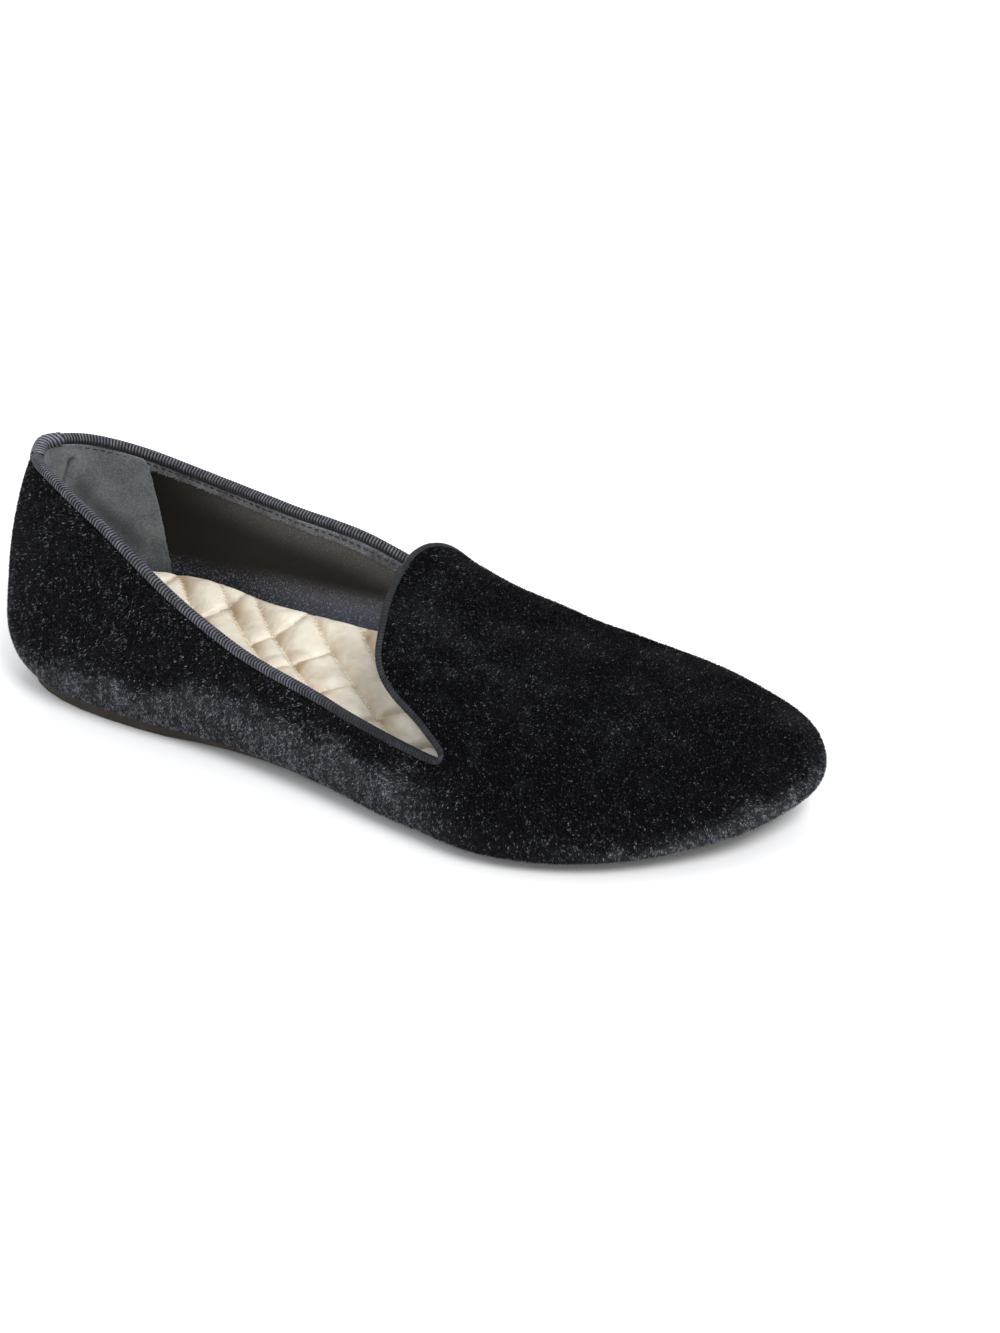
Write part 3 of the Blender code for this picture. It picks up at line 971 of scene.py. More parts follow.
@dataclass
class VelvetPile:
    """Fibres that stand on the velvet, each painted dark or with a glint of its own."""

    upper: VelvetUpper
    finish: PileFinish = PileFinish()
    fibres: int = 175000
    pieces: int = 2
    length: float = 0.00075
    width: float = 0.00025
    lengths: Span = (0.6, 1.15)
    rows: int = 80
    top_row: float = 0.44
    spare_rows: float = 1.5
    droop: float = 0.55
    swirl: float = 0.5
    scatter: float = 0.38
    clumps: tuple[Wave, ...] = ((31, 0.0042, 0.55), (32, 0.0018, 0.65))
    clouds: tuple[Wave, ...] = ((33, 0.012, 0.30),)
    stray: float = 0.012
    clumped: float = 0.26
    # Painted glints: more and brighter where the pile is brushed and sheen is painted.
    brushed: float = 0.30
    brushed_and_sheen_clump: float = 0.36
    unlit: float = 0.006
    top_face: Span = (0.0, 0.9)
    top_start: Span = (0.0, 0.02)
    top_fewer: float = 0.55
    top_dimmer: float = 0.4
    brightness: Span = (0.15, 1.0)
    dim_power: float = 1.7
    brushed_glow: float = 0.06

    def roots(self, rng: np.random.Generator) -> tuple[Array, Array, Array]:
        """Scatters fibre roots evenly over the velvet.

        Args:
            rng: source of chance.

        Returns:
            Root points, directions off the velvet and directions down it.
        """
        skin = self.upper.skin
        table = self.upper.shape(skin.sheet(self.upper.columns, self.rows, self.top_row, self.spare_rows))
        side, step = np.diff(table, axis=0)[:, :-1], np.diff(table, axis=1)[:-1]
        area = np.linalg.norm(np.cross(side, step), axis=-1)
        cells = rng.choice(area.size, size=self.fibres, p=(area / area.sum()).ravel())
        i, j = np.unravel_index(cells, area.shape)
        s, t = rng.random((2, self.fibres, 1))
        corner = table[i, j] * (1 - s) * (1 - t) + table[i + 1, j] * s * (1 - t)
        points = corner + table[i, j + 1] * (1 - s) * t + table[i + 1, j + 1] * s * t
        return points, skin.normals(table)[i, j], unit(np.gradient(table, axis=1)[i, j])

    def glints(self, points: Array, normals: Array, nap_and_sheen: Array, rng: np.random.Generator) -> Array:
        """Painted glint of each fibre: most stay dark, and few do where the pile is brushed and sheen is
        painted.

        Args:
            points: the fibres' roots.
            normals: directions off the velvet there.
            nap_and_sheen: share of brushed pile and painted sheen there.
            rng: source of chance.

        Returns:
            One share for each fibre.
        """
        clump = np.clip(waves(points, self.clumps), -1, 1) + waves(points, self.clouds)
        # Painted light: glints fewer and dimmer on faces that look up.
        top = smoothstep(*self.top_face, normals[:, 2]) * smoothstep(*self.top_start, points[:, 0])
        chance = self.stray + self.clumped * np.clip(clump + 0.08, 0, 1.3)
        chance = chance * (1 - self.top_fewer * top)
        chance += np.maximum(nap_and_sheen, 0) * np.maximum(self.brushed + self.brushed_and_sheen_clump * clump, 0)
        lucky = rng.random(len(points)) < chance * np.clip(1 + 2 * np.minimum(nap_and_sheen, 0), 0.3, 1)
        bright = rng.uniform(*self.brightness, len(points)) ** self.dim_power * (1 - self.top_dimmer * top)
        return np.where(lucky, bright, self.unlit) + np.maximum(nap_and_sheen, 0) * self.brushed_glow

    def build(self) -> list[Piece]:
        """Makes the fibres, each one a thin triangle.

        Returns:
            The finished pieces.
        """
        material = self.finish.material()
        made = []
        for part in range(self.pieces):
            rng = np.random.default_rng(100 + part)
            points, normals, down = self.roots(rng)
            nap_and_sheen = self.upper.nap_and_sheen.at(points)
            swirl = unit(np.cross(normals, down)) * sway(points, 5, 0.02)[:, None] * self.swirl
            lean = normals + down * self.droop + swirl
            lean = unit(lean + rng.normal(size=points.shape) * self.scatter)
            across = unit(np.cross(lean, rng.normal(size=points.shape))) * self.width / 2
            tip = points + lean * self.length * rng.uniform(*self.lengths, (len(points), 1))
            shine = self.glints(points, normals, nap_and_sheen, rng)
            corners = np.stack([points - across, points + across, tip], 1).reshape(-1, 3)
            mesh = bpy.data.meshes.new(f"velvet_pile_{part}")
            mesh.vertices.add(len(corners))
            mesh.loops.add(len(corners))
            mesh.polygons.add(len(points))
            mesh.vertices.foreach_set("co", corners.astype(np.float32).ravel())
            mesh.loops.foreach_set("vertex_index", np.arange(len(corners), dtype=np.int32))
            mesh.polygons.foreach_set("loop_start", np.arange(0, len(corners), 3, dtype=np.int32))
            mesh.update(calc_edges=True)
            piece = link(mesh.name, mesh)
            set_attribute(piece, "glint", np.repeat(shine, 3))
            made.append(dress(piece, material, "velvet"))
        return made


@dataclass
class Lining:
    """Inner face of the upper, from under the ribbon to below the insole."""

    skin: Skin
    finish: LiningFinish = LiningFinish()
    thickness: float = 0.0006
    columns: int = 300
    rows: int = 44
    top_row: float = 0.4
    bulge: tuple[Patch, ...] = (((-0.035, 0.030, 0.044), (0.040, 0.02, 0.010), 0.0009),)
    lumps: tuple[Wave, ...] = ((41, 0.035, 0.00018),)
    dull_height: Span = (0.033, 0.025)
    dull_slope: float = 0.05
    sheen_depth: Span = (0.0190, 0.0050)
    sheen_start: Span = (-0.098, -0.050)
    cloth_light_start: Span = (-0.085, -0.020)
    wander: tuple[Wave, ...] = ((44, 0.03, 1.0),)
    wavy_border: float = 0.0008
    sheen_wander: float = 0.1
    cloth_light_wander: float = 0.15

    def swell(self, points: Array) -> Array:
        """How far the lining stands off the wall at each point, in metres."""
        return patches(points, self.bulge) + waves(points, self.lumps)

    def build(self) -> Piece:
        """Makes the lining.

        Returns:
            The finished piece.
        """
        table = self.skin.sheet(self.columns, self.rows, self.top_row)
        table = self.skin.lifted(table, self.swell(table))
        x, z = table[..., 0], table[..., 2]
        drop = np.stack([lengths_of(line) for line in table])
        wander = waves(table, self.wander)
        dull = smoothstep(*self.dull_height, z - self.dull_slope * x - self.wavy_border * wander)
        # Painted sheen below the ribbon, and painted light on the dull cloth towards the front.
        sheen = smoothstep(*self.sheen_depth, drop) * smoothstep(*self.sheen_start, x)
        sheen = sheen * (1 - self.sheen_wander + self.sheen_wander * wander)
        cloth = smoothstep(*self.cloth_light_start, x) * (1 - self.cloth_light_wander + self.cloth_light_wander * wander)
        glow = sheen * (1 - dull) + cloth * dull
        piece = grid_sheet("lining", table, closed=True, thickness=self.thickness, dull=dull, glow=glow)
        return dress(piece, self.finish.material(), "velvet")


@dataclass
class LiningPatch:
    """Thin material laid on the lining."""

    lining: Lining
    rooting: float = 0.0002

    def lay(
        self,
        name: str,
        finish: SuedeFinish,
        proud: float,
        columns: Array,
        rows: Array,
        dent: Array,
        **marks: Array,
    ) -> Piece:
        """Lays the patch.

        Args:
            name: the piece's name.
            finish: its finish.
            proud: how far it stands off the lining.
            columns: fractional column of each corner, as a table.
            rows: fractional row of each corner.
            dent: how far each corner is pressed back into the wall.
            **marks: numbers to store at the corners, by attribute name.

        Returns:
            The finished piece.
        """
        skin = self.lining.skin
        table = skin.pick(columns, rows)
        table = skin.lifted(table, proud - dent + self.lining.swell(table))
        piece = grid_sheet(name, table, thickness=proud + self.rooting, **marks)
        return dress(piece, finish.material(), "velvet")


@dataclass
class HeelGrip(LiningPatch):
    """Suede patch round the inside of the heel, with a short crease darkened by painted shadow, and a painted
    shadow of a soft fold at its back.
    """

    fronts: Span = (-0.0975, -0.0962)
    top_depth: float = 0.0016
    bottom_row: float = 9.5
    columns: int = 220
    rows: int = 60
    samples: int = 12
    ragged: float = 0.012
    proud: float = 0.00050
    crease: tuple[Point, ...] = ((-0.1152, 0.0122, 0.0650), (-0.1181, 0.0112, 0.0562))
    crease_depth: float = 0.00045
    crease_width: float = 0.0007
    lip: float = 0.0007
    lip_place: float = 0.0022
    lip_width: float = 0.0013
    lumps: tuple[Wave, ...] = ((51, 0.022, 0.00018),)
    fold: tuple[Point, ...] = (
        (-0.1180, 0.0165, 0.0560),
        (-0.1150, 0.0222, 0.0445),
        (-0.1062, 0.0305, 0.0310),
    )
    crease_shadow: Span = (0.70, 0.0006)
    fold_shadow: Span = (0.60, 0.0038)

    def build(self) -> Piece:
        """Makes the grip.

        Returns:
            The finished piece.
        """
        skin = self.lining.skin
        share = np.linspace(0, 1, self.rows + 1)
        steps = np.linspace(1, self.bottom_row, self.samples)
        edges = []
        for side in (Side.MEDIAL, Side.LATERAL):
            fronts = zip(np.linspace(*self.fronts, self.samples), steps)
            places = [skin.column_at(side, x, round(row)) for x, row in fronts]
            edges.append(np.polyval(np.polyfit(steps, places, 3), 1 + share * (self.bottom_row - 1)))
        across = np.linspace(0, 1, self.columns + 1)[:, None]
        rough = np.random.default_rng(12).normal(size=self.rows + 1) * self.ragged
        rough = rough * np.where(across < 0.5, 1, -1) * np.abs(2 * across - 1)
        columns = edges[0] + (edges[1] - edges[0]) * across + rough
        top = skin.rows_at(columns[:, 0], self.top_depth)[:, None]
        rows = top + (self.bottom_row - top) * share
        table = skin.pick(columns, rows)
        gap = gap_to(table, self.crease)
        dent = self.crease_depth * bell(gap, self.crease_width)
        dent = dent - self.lip * bell(gap - self.lip_place, self.lip_width) + waves(table, self.lumps)
        # Painted shadow in the crease, and along a soft fold that has no shape of its own.
        shadow = self.crease_shadow[0] * bell(gap, self.crease_shadow[1])
        shadow += self.fold_shadow[0] * bell(gap_to(table, self.fold), self.fold_shadow[1])
        finish = SuedeFinish("heel_suede")
        return self.lay("heel_grip", finish, self.proud, columns, rows, dent, shadow=np.minimum(shadow, 1.0))


@dataclass
class RawStrip(LiningPatch):
    """Frayed edge of the backing, just under the ribbon, on one side of the collar."""

    side: Side = Side.LATERAL
    ends: Span = (-0.0972, 0.012)
    top_depth: float = 0.0018
    bottom_depth: float = 0.0058
    fray: float = 0.00030
    columns: int = 520
    rows: int = 8
    proud: float = 0.00030
    cloth: Colour = (0.062, 0.065, 0.074, 1.0)
    fuzz: Colour = (0.200, 0.206, 0.230, 1.0)

    def build(self) -> Piece:
        """Makes the strip.

        Returns:
            The finished piece.
        """
        skin = self.lining.skin
        ends = sorted(skin.column_at(self.side, x, 1) for x in self.ends)
        columns = np.linspace(*ends, self.columns + 1)
        top, bottom = (skin.rows_at(columns, depth) for depth in (self.top_depth, self.bottom_depth))
        wander = np.random.default_rng(9).normal(size=len(columns)) * self.fray
        bottom = bottom + (bottom - top) * wander / (self.bottom_depth - self.top_depth)
        rows = top[:, None] + (bottom - top)[:, None] * np.linspace(0, 1, self.rows + 1)
        finish = SuedeFinish("raw_cloth", self.cloth, self.fuzz, (-1.0, 0.0))
        columns = np.repeat(columns[:, None], self.rows + 1, 1)
        name = f"raw_strip_{self.side.name.lower()}"
        return self.lay(name, finish, self.proud, columns, rows, np.zeros(rows.shape))


@dataclass
class ToplineRibbon:
    """Grosgrain folded over the topline, with its ribs across it."""

    outer: Skin
    inner: Skin
    finish: RibbonFinish = RibbonFinish()
    thickness: float = 0.0003
    pitch: float = 0.0010
    stations: int = 6
    rows: int = 15
    rib: float = 0.00016
    slant: float = 0.35
    crown: float = 0.0005
    shoulder: float = 0.62
    places: tuple[float, ...] = (0.0, 0.18, 0.52, 0.86, 1.0)
    rises: tuple[float, ...] = (0.0, 0.00050, 0.00050, 0.00040, 0.00018)
    outer_reach: float = 0.49
    inner_reach: float = 0.70
    tongue_reach: float = 0.44
    tongue: Span = (-0.012, 0.008)
    inward: Span = (0.12, 0.50)
    lit_rib: Span = (0.52, 0.97)
    inner_dim: float = 0.78
    inner_even: float = 0.10
    tongue_even: float = 0.08
    tongue_rib: float = 0.13
    edge_flat: float = 0.6
    tongue_flat: float = 0.5

    def section(self, columns: Array) -> Array:
        """Control points of the ribbon's section, from its outer edge over the crown to its inner one.

        Args:
            columns: columns to read.

        Returns:
            Points as stations of the section by columns.
        """
        share = smoothstep(*self.tongue, resample(self.outer.grid[:, 0, 0], columns))[:, None]
        lines = []
        for skin, reach in ((self.outer, self.outer_reach), (self.inner, self.inner_reach)):
            rows = np.array(self.places) * (reach + (self.tongue_reach - reach) * share)
            lines.append(skin.at(columns, rows))
        outside, inside = lines
        up = unit(outside[:, 0] + inside[:, 0] - outside[:, -1] - inside[:, -1])
        away = unit(outside[:, 0] - inside[:, 0])
        parts = []
        for line, skin, sign in ((outside, self.outer, 1.0), (inside, self.inner, -1.0)):
            raised = skin.lifted(line, np.array(self.rises))
            raised[:, 0] = line[:, 0] + (up + sign * away) * self.crown * self.shoulder
            parts.append(raised)
        middle = (outside[:, 0] + inside[:, 0]) / 2 + up * self.crown
        return np.concatenate([parts[0][:, ::-1], middle[:, None], parts[1]], axis=1).transpose(1, 0, 2)

    def table(self, columns: Array, places: Array) -> Array:
        """Table over the ribbon, at columns of the upper and places in its section."""
        return resample(self.section(columns), places, closed=False).transpose(1, 0, 2)

    def build(self) -> Piece:
        """Makes the ribbon.

        Returns:
            The finished piece.
        """
        fine = np.linspace(0, self.outer.columns, 40 * self.outer.columns + 1)
        run = lengths_of(self.section(fine)[CROWN])
        count = round(run[-1] / self.pitch) * self.stations
        columns = np.interp(np.linspace(0, run[-1], count + 1), run, fine)
        table = self.table(columns, np.linspace(0, 2 * CROWN, self.rows))
        across = np.linspace(-1, 1, self.rows)
        turn = np.arange(count + 1)[:, None] / self.stations + self.slant * across
        height = np.abs(np.cos(np.pi * turn))
        faint = smoothstep(*self.tongue, table[:, self.rows // 2, 0])[:, None]
        lift = height * (1 - self.edge_flat * across**6) * (1 - self.tongue_flat * faint) * self.rib
        table = table + sheet_normals(table) * lift[..., None]
        inward = smoothstep(*self.inward, across)
        # Painted highlights on the ribs' crowns and painted shade in their grooves.
        rib = smoothstep(*self.lit_rib, height) * (1 - self.inner_dim * inward) + self.inner_even * inward
        rib = rib * (1 - faint) + (self.tongue_even + self.tongue_rib * rib) * faint
        piece = grid_sheet("topline_ribbon", table, closed=True, thickness=self.thickness, rib=rib)
        return dress(piece, self.finish.material(), "ribbon", "topline_binding")


@dataclass
class RibbonOverlap:
    """End of the ribbon folded over its start at the back of the heel, with slanting ribs."""

    ribbon: ToplineRibbon
    finish: RibbonFinish = RibbonFinish(yarn=(0.13, 0.134, 0.16, 1.0), worn=(0.22, 0.225, 0.26, 1.0))
    thickness: float = 0.00045
    ends: Span = (-0.006, 0.010)
    proud: float = 0.00030
    slant: float = 2.0
    coarse: float = 1.6
    bold: float = 2.0
    stations: int = 8
    rows: int = 21
    inset: float = 0.3
    lit_rib: Span = (0.45, 0.90)

    def build(self) -> Piece:
        """Makes the overlap.

        Returns:
            The finished piece.
        """
        ribbon = self.ribbon
        fine = np.linspace(-8, 8, 641)
        run = lengths_of(ribbon.section(fine)[CROWN])
        run = run - np.interp(0.0, fine, run)
        count = round((self.ends[1] - self.ends[0]) / ribbon.pitch * self.stations)
        stations = np.linspace(*self.ends, count + 1)
        places = np.linspace(self.inset, 2 * CROWN - self.inset, self.rows)
        table = ribbon.table(np.interp(stations, run, fine), places)
        turn = stations[:, None] / (ribbon.pitch * self.coarse) + self.slant * np.linspace(-1, 1, self.rows)
        height = np.abs(np.cos(np.pi * turn))
        table = table + sheet_normals(table) * (self.proud + height * ribbon.rib * self.bold)[..., None]
        # Painted highlights on the ribs' crowns and painted shade in their grooves.
        rib = smoothstep(*self.lit_rib, height)
        piece = grid_sheet("ribbon_overlap", table, thickness=self.thickness, rib=rib)
        return dress(piece, self.finish.material(), "ribbon")


@dataclass
class QuiltedInsole:
    """Padded footbed with a quilted satin top."""

    finish: SatinFinish = SatinFinish()
    columns: int = 212
    rows: int = 78
    short_turn: float = 40.0
    long_turn: float = 54.0
    short_places: tuple[float, ...] = (
        *(-0.0250 - 0.0104 * k for k in range(8, -1, -1)),
        -0.0172,
        *(-0.0042 + 0.0104 * k for k in range(10)),
    )
    long_places: tuple[float, ...] = (
        *(-0.0734 - 0.0196 * k for k in range(3, -1, -1)),
        *(-0.0532, -0.0354, -0.0160),
        *(0.0042 + 0.0196 * k for k in range(7)),
    )
    bare_cells: tuple[tuple[float, ...], ...] = (
        (-0.0354, -0.0250, -0.065, -0.022),
        (-0.0042, 0.0062, -math.inf, -0.006),
    )
    puff: float = 0.0021
    roundness: float = 0.0046
    widest: float = 0.0040
    heel: Span = (-0.055, -0.085)
    heel_rise: float = 0.0014
    curl_width: Span = (0.012, 0.0)
    curl_start: Span = (0.03, 0.0)
    medial_from: float = 0.008
    medial_curl: float = 0.0022
    medial_heel_curl: float = 0.0012
    lateral_curl: float = 0.0008
    border: Span = (0.0008, 0.0052)
    pinned_seam: Span = (0.00030, 0.00010)
    pinned_edge: Span = (0.0014, 0.0004)
    plateau: float = 0.72
    channel: Span = (0.0008, 0.0)
    channel_depth: float = 0.0006
    seam_shade_width: Span = (0.0005, 0.0)
    seam_shade_strength: float = 0.70
    # Widths of the painted beige shade on the cells' flanks and under the wide seams.
    wedge: float = 0.0048
    corner: float = 0.0100
    hollow_shade: float = 0.0026
    skirt: float = 0.003
    snap_from: float = 0.0012
    cloth_frames: int = 20
    cloth_share: Point = (0.5, 0.5, 1.0)
    channel_least: float = 0.15
    shade_least: float = 0.6

    def outline(self, solid: Piece, stations: Array) -> Array:
        """Lateral and medial edge of the insole at places along it.

        Args:
            solid: the insole's merged solid.
            stations: places along the shoe.

        Returns:
            One row of two numbers for each station.
        """
        ends = positions(solid)[np.array([edge.vertices[:] for edge in solid.data.edges])]
        rows = []
        for x in stations:
            start, end = ends[:, 0], ends[:, 1]
            hit = (start[:, 0] - x) * (end[:, 0] - x) < 0
            start, end = start[hit], end[hit]
            share = (x - start[:, 0]) / (end[:, 0] - start[:, 0])
            y = start[:, 1] + share * (end[:, 1] - start[:, 1])
            rows.append((y.min(), y.max()))
        return np.array(rows)

    def plan(self, solid: Piece) -> Array:
        """Lays a square grid out over the insole, with its border on the insole's edge.

        Args:
            solid: the insole's merged solid.

        Returns:
            A table of flat points.
        """
        low, high = positions(solid)[:, 0].min(), positions(solid)[:, 0].max()
        u = np.linspace(-1, 1, self.columns)[:, None]
        v = np.linspace(-1, 1, self.rows)[None, :]
        along = np.clip(u * np.sqrt(1 - v**2 / 2), -0.9985, 0.9985)
        across = v * np.sqrt(1 - u**2 / 2) / np.sqrt(1 - along**2)
        fine = np.linspace(-0.999, 0.999, 400)
        edges = self.outline(solid, low + (fine + 1) / 2 * (high - low))
        lateral, medial = (np.interp(along, fine, edge) for edge in edges.T)
        x = low + (along + 1) / 2 * (high - low)
        y = (lateral + medial) / 2 + (medial - lateral) / 2 * np.clip(across, -1, 1) * 0.997
        return np.stack([x, y], -1)

    def families(self) -> list[tuple[Array, Array, Array]]:
        """Both families of seams: the close ones, then the wide ones.

        Returns:
            For each family its direction, the direction across it and the places of its seams.
        """
        made = []
        turned = ((self.short_turn, 1.0, self.short_places), (self.long_turn, -1.0, self.long_places))
        for turn, sign, places in turned:
            c, s = math.cos(math.radians(turn)), math.sin(math.radians(turn))
            made.append((np.array([c, -sign * s]), np.array([s, sign * c]), np.array(places)))
        return made

    def offsets(self, flat: Array) -> list[Array]:
        """Signed distance of each point from the nearest seam of each family.

        Args:
            flat: points seen from above.

        Returns:
            One array for each family, with 1 metre where a larger cell has no such seam.
        """
        gaps = []
        for _, normal, places in self.families():
            place = flat @ normal
            middles = (places[1:] + places[:-1]) / 2
            gaps.append(place - places[np.searchsorted(middles, place)])
        gaps[1] = np.where(self.bare(flat), 1.0, gaps[1])
        return gaps

    def bare(self, flat: Array) -> Array:
        """Whether each point lies in one of the two long cells that no wide seam crosses."""
        a, b = (flat @ normal for _, normal, _ in self.families())
        return np.any([(a > p) & (a < q) & (b > r) & (b < s) for p, q, r, s in self.bare_cells], axis=0)

    def shaded(self, flat: Array) -> Array:
        """Share of painted beige shade, strongest in the corner of each cell that faces the heel.

        Args:
            flat: points seen from above.

        Returns:
            One share for each point.
        """
        pasts = []
        for _, normal, places in self.families():
            place = flat @ normal
            last = np.clip(np.searchsorted(places, place) - 1, 0, len(places) - 1)
            pasts.append(np.maximum(place - places[last], 0))
        close, wide = pasts[0], np.where(self.bare(flat), 0.012, pasts[1])
        uneven = 0.85 + 0.30 * sway(np.concatenate([flat, np.zeros((len(flat), 1))], 1), 61, 0.014)
        wedge = bell(close, self.wedge) * (0.40 + 0.60 * bell(wide, self.corner))
        return np.clip(np.maximum(wedge, bell(wide, self.hollow_shade) * 0.60) * uneven, 0, 1)

    def snapped(self, flat: Array, inset: Array) -> Array:
        """Moves the nearer end of each grid edge that a seam crosses onto it, to keep seams crisp.

        Args:
            flat: points seen from above.
            inset: their distances from the plan's edge.

        Returns:
            The moved points.
        """
        moved = flat.copy()
        for index, (_, normal, _) in enumerate(self.families()):
            gap = self.offsets(moved)[index]
            near = np.zeros(gap.shape, bool)
            for first, second in ((np.s_[:-1], np.s_[1:]), (np.s_[:, :-1], np.s_[:, 1:])):
                start, end = gap[first], gap[second]
                crossed = (start * end < 0) & (np.abs(start) + np.abs(end) < self.widest)
                near[first] |= crossed & (np.abs(start) <= np.abs(end))
                near[second] |= crossed & (np.abs(start) > np.abs(end))
            moved = moved - (gap * near * (inset > self.snap_from))[..., None] * normal
        return moved

    def pillow(self, gap: Array) -> Array:
        """Round rise of the padding at a distance from a seam, as a share of its full height."""
        return np.sqrt(1 - (1 - np.clip(gap / self.roundness, 0, 1)) ** 2)

    def inset(self, flat: Array) -> Array:
        """Distance of each point of the plan from the plan's edge.

        Args:
            flat: the plan's table.

        Returns:
            Distances in metres.
        """
        rim = np.concatenate([flat[0], flat[-1], flat[:, 0], flat[:, -1]])
        gaps = np.full(flat.shape[:2], np.inf)
        for point in rim[::2]:
            gaps = np.minimum(gaps, np.linalg.norm(flat - point, axis=-1))
        return gaps

    def base(self, solid: Piece, flat: Array) -> Array:
        """Height of the solid's top over the plan.

        Args:
            solid: the insole's merged solid.
            flat: the plan's table.

        Returns:
            Heights, level with the nearest good one where a ray passes by the edge.
        """
        tree = BVHTree.FromObject(solid, bpy.context.evaluated_depsgraph_get())
        top = np.full(flat.shape[:2], np.nan)
        for index in np.ndindex(*top.shape):
            hit = ray_down(tree, flat[index])[0]
            top[index] = np.nan if hit is None else hit.z
        while np.isnan(top).any():
            padded = np.pad(top, 1, mode="edge")
            near = np.stack([padded[:-2, 1:-1], padded[2:, 1:-1], padded[1:-1, :-2], padded[1:-1, 2:]])
            top = np.where(np.isnan(top), np.nanmax(near, axis=0), top)
        return top

    def puffed(self, sheet: Piece, pins: Array) -> Array:
        """Blows the satin up between its seams with a cloth simulation.

        Args:
            sheet: the flat satin.
            pins: how firmly each vertex is held.

        Returns:
            The puffed positions.
        """
        group = sheet.vertex_groups.new(name="pins")
        for index in np.flatnonzero(pins > 0.01):
            group.add([int(index)], float(pins[index]), "REPLACE")
        choose(sheet)
        cloth = sheet.modifiers.new("cloth", "CLOTH")
        values = {
            "quality": 6,
            "mass": 0.15,
            "tension_stiffness": 8.0,
            "compression_stiffness": 8.0,
            "shear_stiffness": 4.0,
            "bending_stiffness": 0.15,
            "use_pressure": True,
            "uniform_pressure_force": 4.0,
            "vertex_group_mass": "pins",
            "shrink_min": -0.012,
        }
        for key, value in values.items():
            setattr(cloth.settings, key, value)
        cloth.settings.effector_weights.gravity = 0.0
        cloth.collision_settings.use_collision = False
        cloth.point_cache.frame_start = 1
        cloth.point_cache.frame_end = self.cloth_frames
        for step in range(1, self.cloth_frames + 1):
            bpy.context.scene.frame_set(step)
        bpy.ops.object.modifier_apply(modifier=cloth.name)
        bpy.context.scene.frame_set(1)
        return positions(sheet)

    def quilt(self, piece: Piece) -> None:
        """Raises the padding between the seams, and lets the satin puff up over it.

        Args:
            piece: the flat satin, which carries its distances from the edge.
        """
        points = positions(piece)
        close, wide = np.abs(self.offsets(points[:, :2]))
        edge = read_attribute(piece, "edge")
        calm = smoothstep(*self.border, edge)
        seam = np.minimum(close, wide)
        pins = np.maximum(smoothstep(*self.pinned_seam, seam) * calm, smoothstep(*self.pinned_edge, edge))
        rise = self.plateau + (self.pillow(close) * self.pillow(wide) - self.plateau) * calm
        points[:, 2] += rise * self.pillow(edge) * self.puff
        move_to(piece, points)
        moved = (self.puffed(piece, pins) - points) * np.array(self.cloth_share)
        reach = np.linalg.norm(moved, axis=1, keepdims=True)
        log.info("satin moved %.2f mm at most, %.2f mm on average", reach.max() * 1e3, reach.mean() * 1e3)
        cap = self.puff / 2
        points = points + moved * cap * np.tanh(reach / cap) / np.maximum(reach, 1e-9)
        move_to(piece, points)
        set_attribute(piece, "seam_gap", seam)

    def press(self, piece: Piece) -> None:
        """Refines the satin, presses the seams' channels and paints shade along the seams and on the pillows'
        flanks.

        Args:
            piece: the quilted satin.
        """
        apply_modifier(piece, "SUBSURF", levels=1, render_levels=1)
        points, gaps = positions(piece), read_attribute(piece, "seam_gap")
        calm = smoothstep(*self.border, read_attribute(piece, "edge"))
        depth = self.channel_least + (1 - self.channel_least) * calm
        points[:, 2] -= self.channel_depth * smoothstep(*self.channel, gaps) * depth
        move_to(piece, points)
        # Painted shade along the seams and on the pillows' flanks.
        set_attribute(piece, "seam", smoothstep(*self.seam_shade_width, gaps) * self.seam_shade_strength)
        shade = self.shade_least + (1 - self.shade_least) * calm
        set_attribute(piece, "painted_flank_shade", self.shaded(points[:, :2]) * shade)

    def close_below(self, piece: Piece) -> None:
        """Draws the satin's border down and closes it underneath.

        Args:
            piece: the pressed satin.
        """
        choose(piece)
        bpy.ops.object.mode_set(mode="EDIT")
        bpy.ops.mesh.select_mode(type="VERT")
        bpy.ops.mesh.select_all(action="DESELECT")
        bpy.ops.mesh.select_non_manifold()
        bpy.ops.mesh.extrude_region_move(TRANSFORM_OT_translate={"value": (0, 0, -self.skirt)})
        bpy.ops.mesh.edge_face_add()
        bpy.ops.mesh.select_all(action="SELECT")
        bpy.ops.mesh.normals_make_consistent(inside=False)
        bpy.ops.object.mode_set(mode="OBJECT")

    def build(self) -> Piece:
        """Makes the insole.

        Returns:
            The finished piece.
        """
        solid = merged_copy("insole")
        flat = self.plan(solid)
        inset = self.inset(flat)
        flat = self.snapped(flat, inset)
        top = self.base(solid, flat)
        bpy.data.objects.remove(solid)
        x, y = flat[..., 0], flat[..., 1]
        heel = smoothstep(*self.heel, x)
        medial = self.medial_curl + self.medial_heel_curl * heel
        curl = smoothstep(*self.curl_width, inset) * smoothstep(*self.curl_start, x)
        curl = curl * np.where(y > self.medial_from, medial, self.lateral_curl)
        table = np.concatenate([flat, (top + curl + self.heel_rise * heel)[..., None]], -1)
        piece = grid_sheet("quilted_insole", table, edge=inset)
        self.quilt(piece)
        self.press(piece)
        self.close_below(piece)
        return dress(piece, self.finish.material(), "satin", "insole")


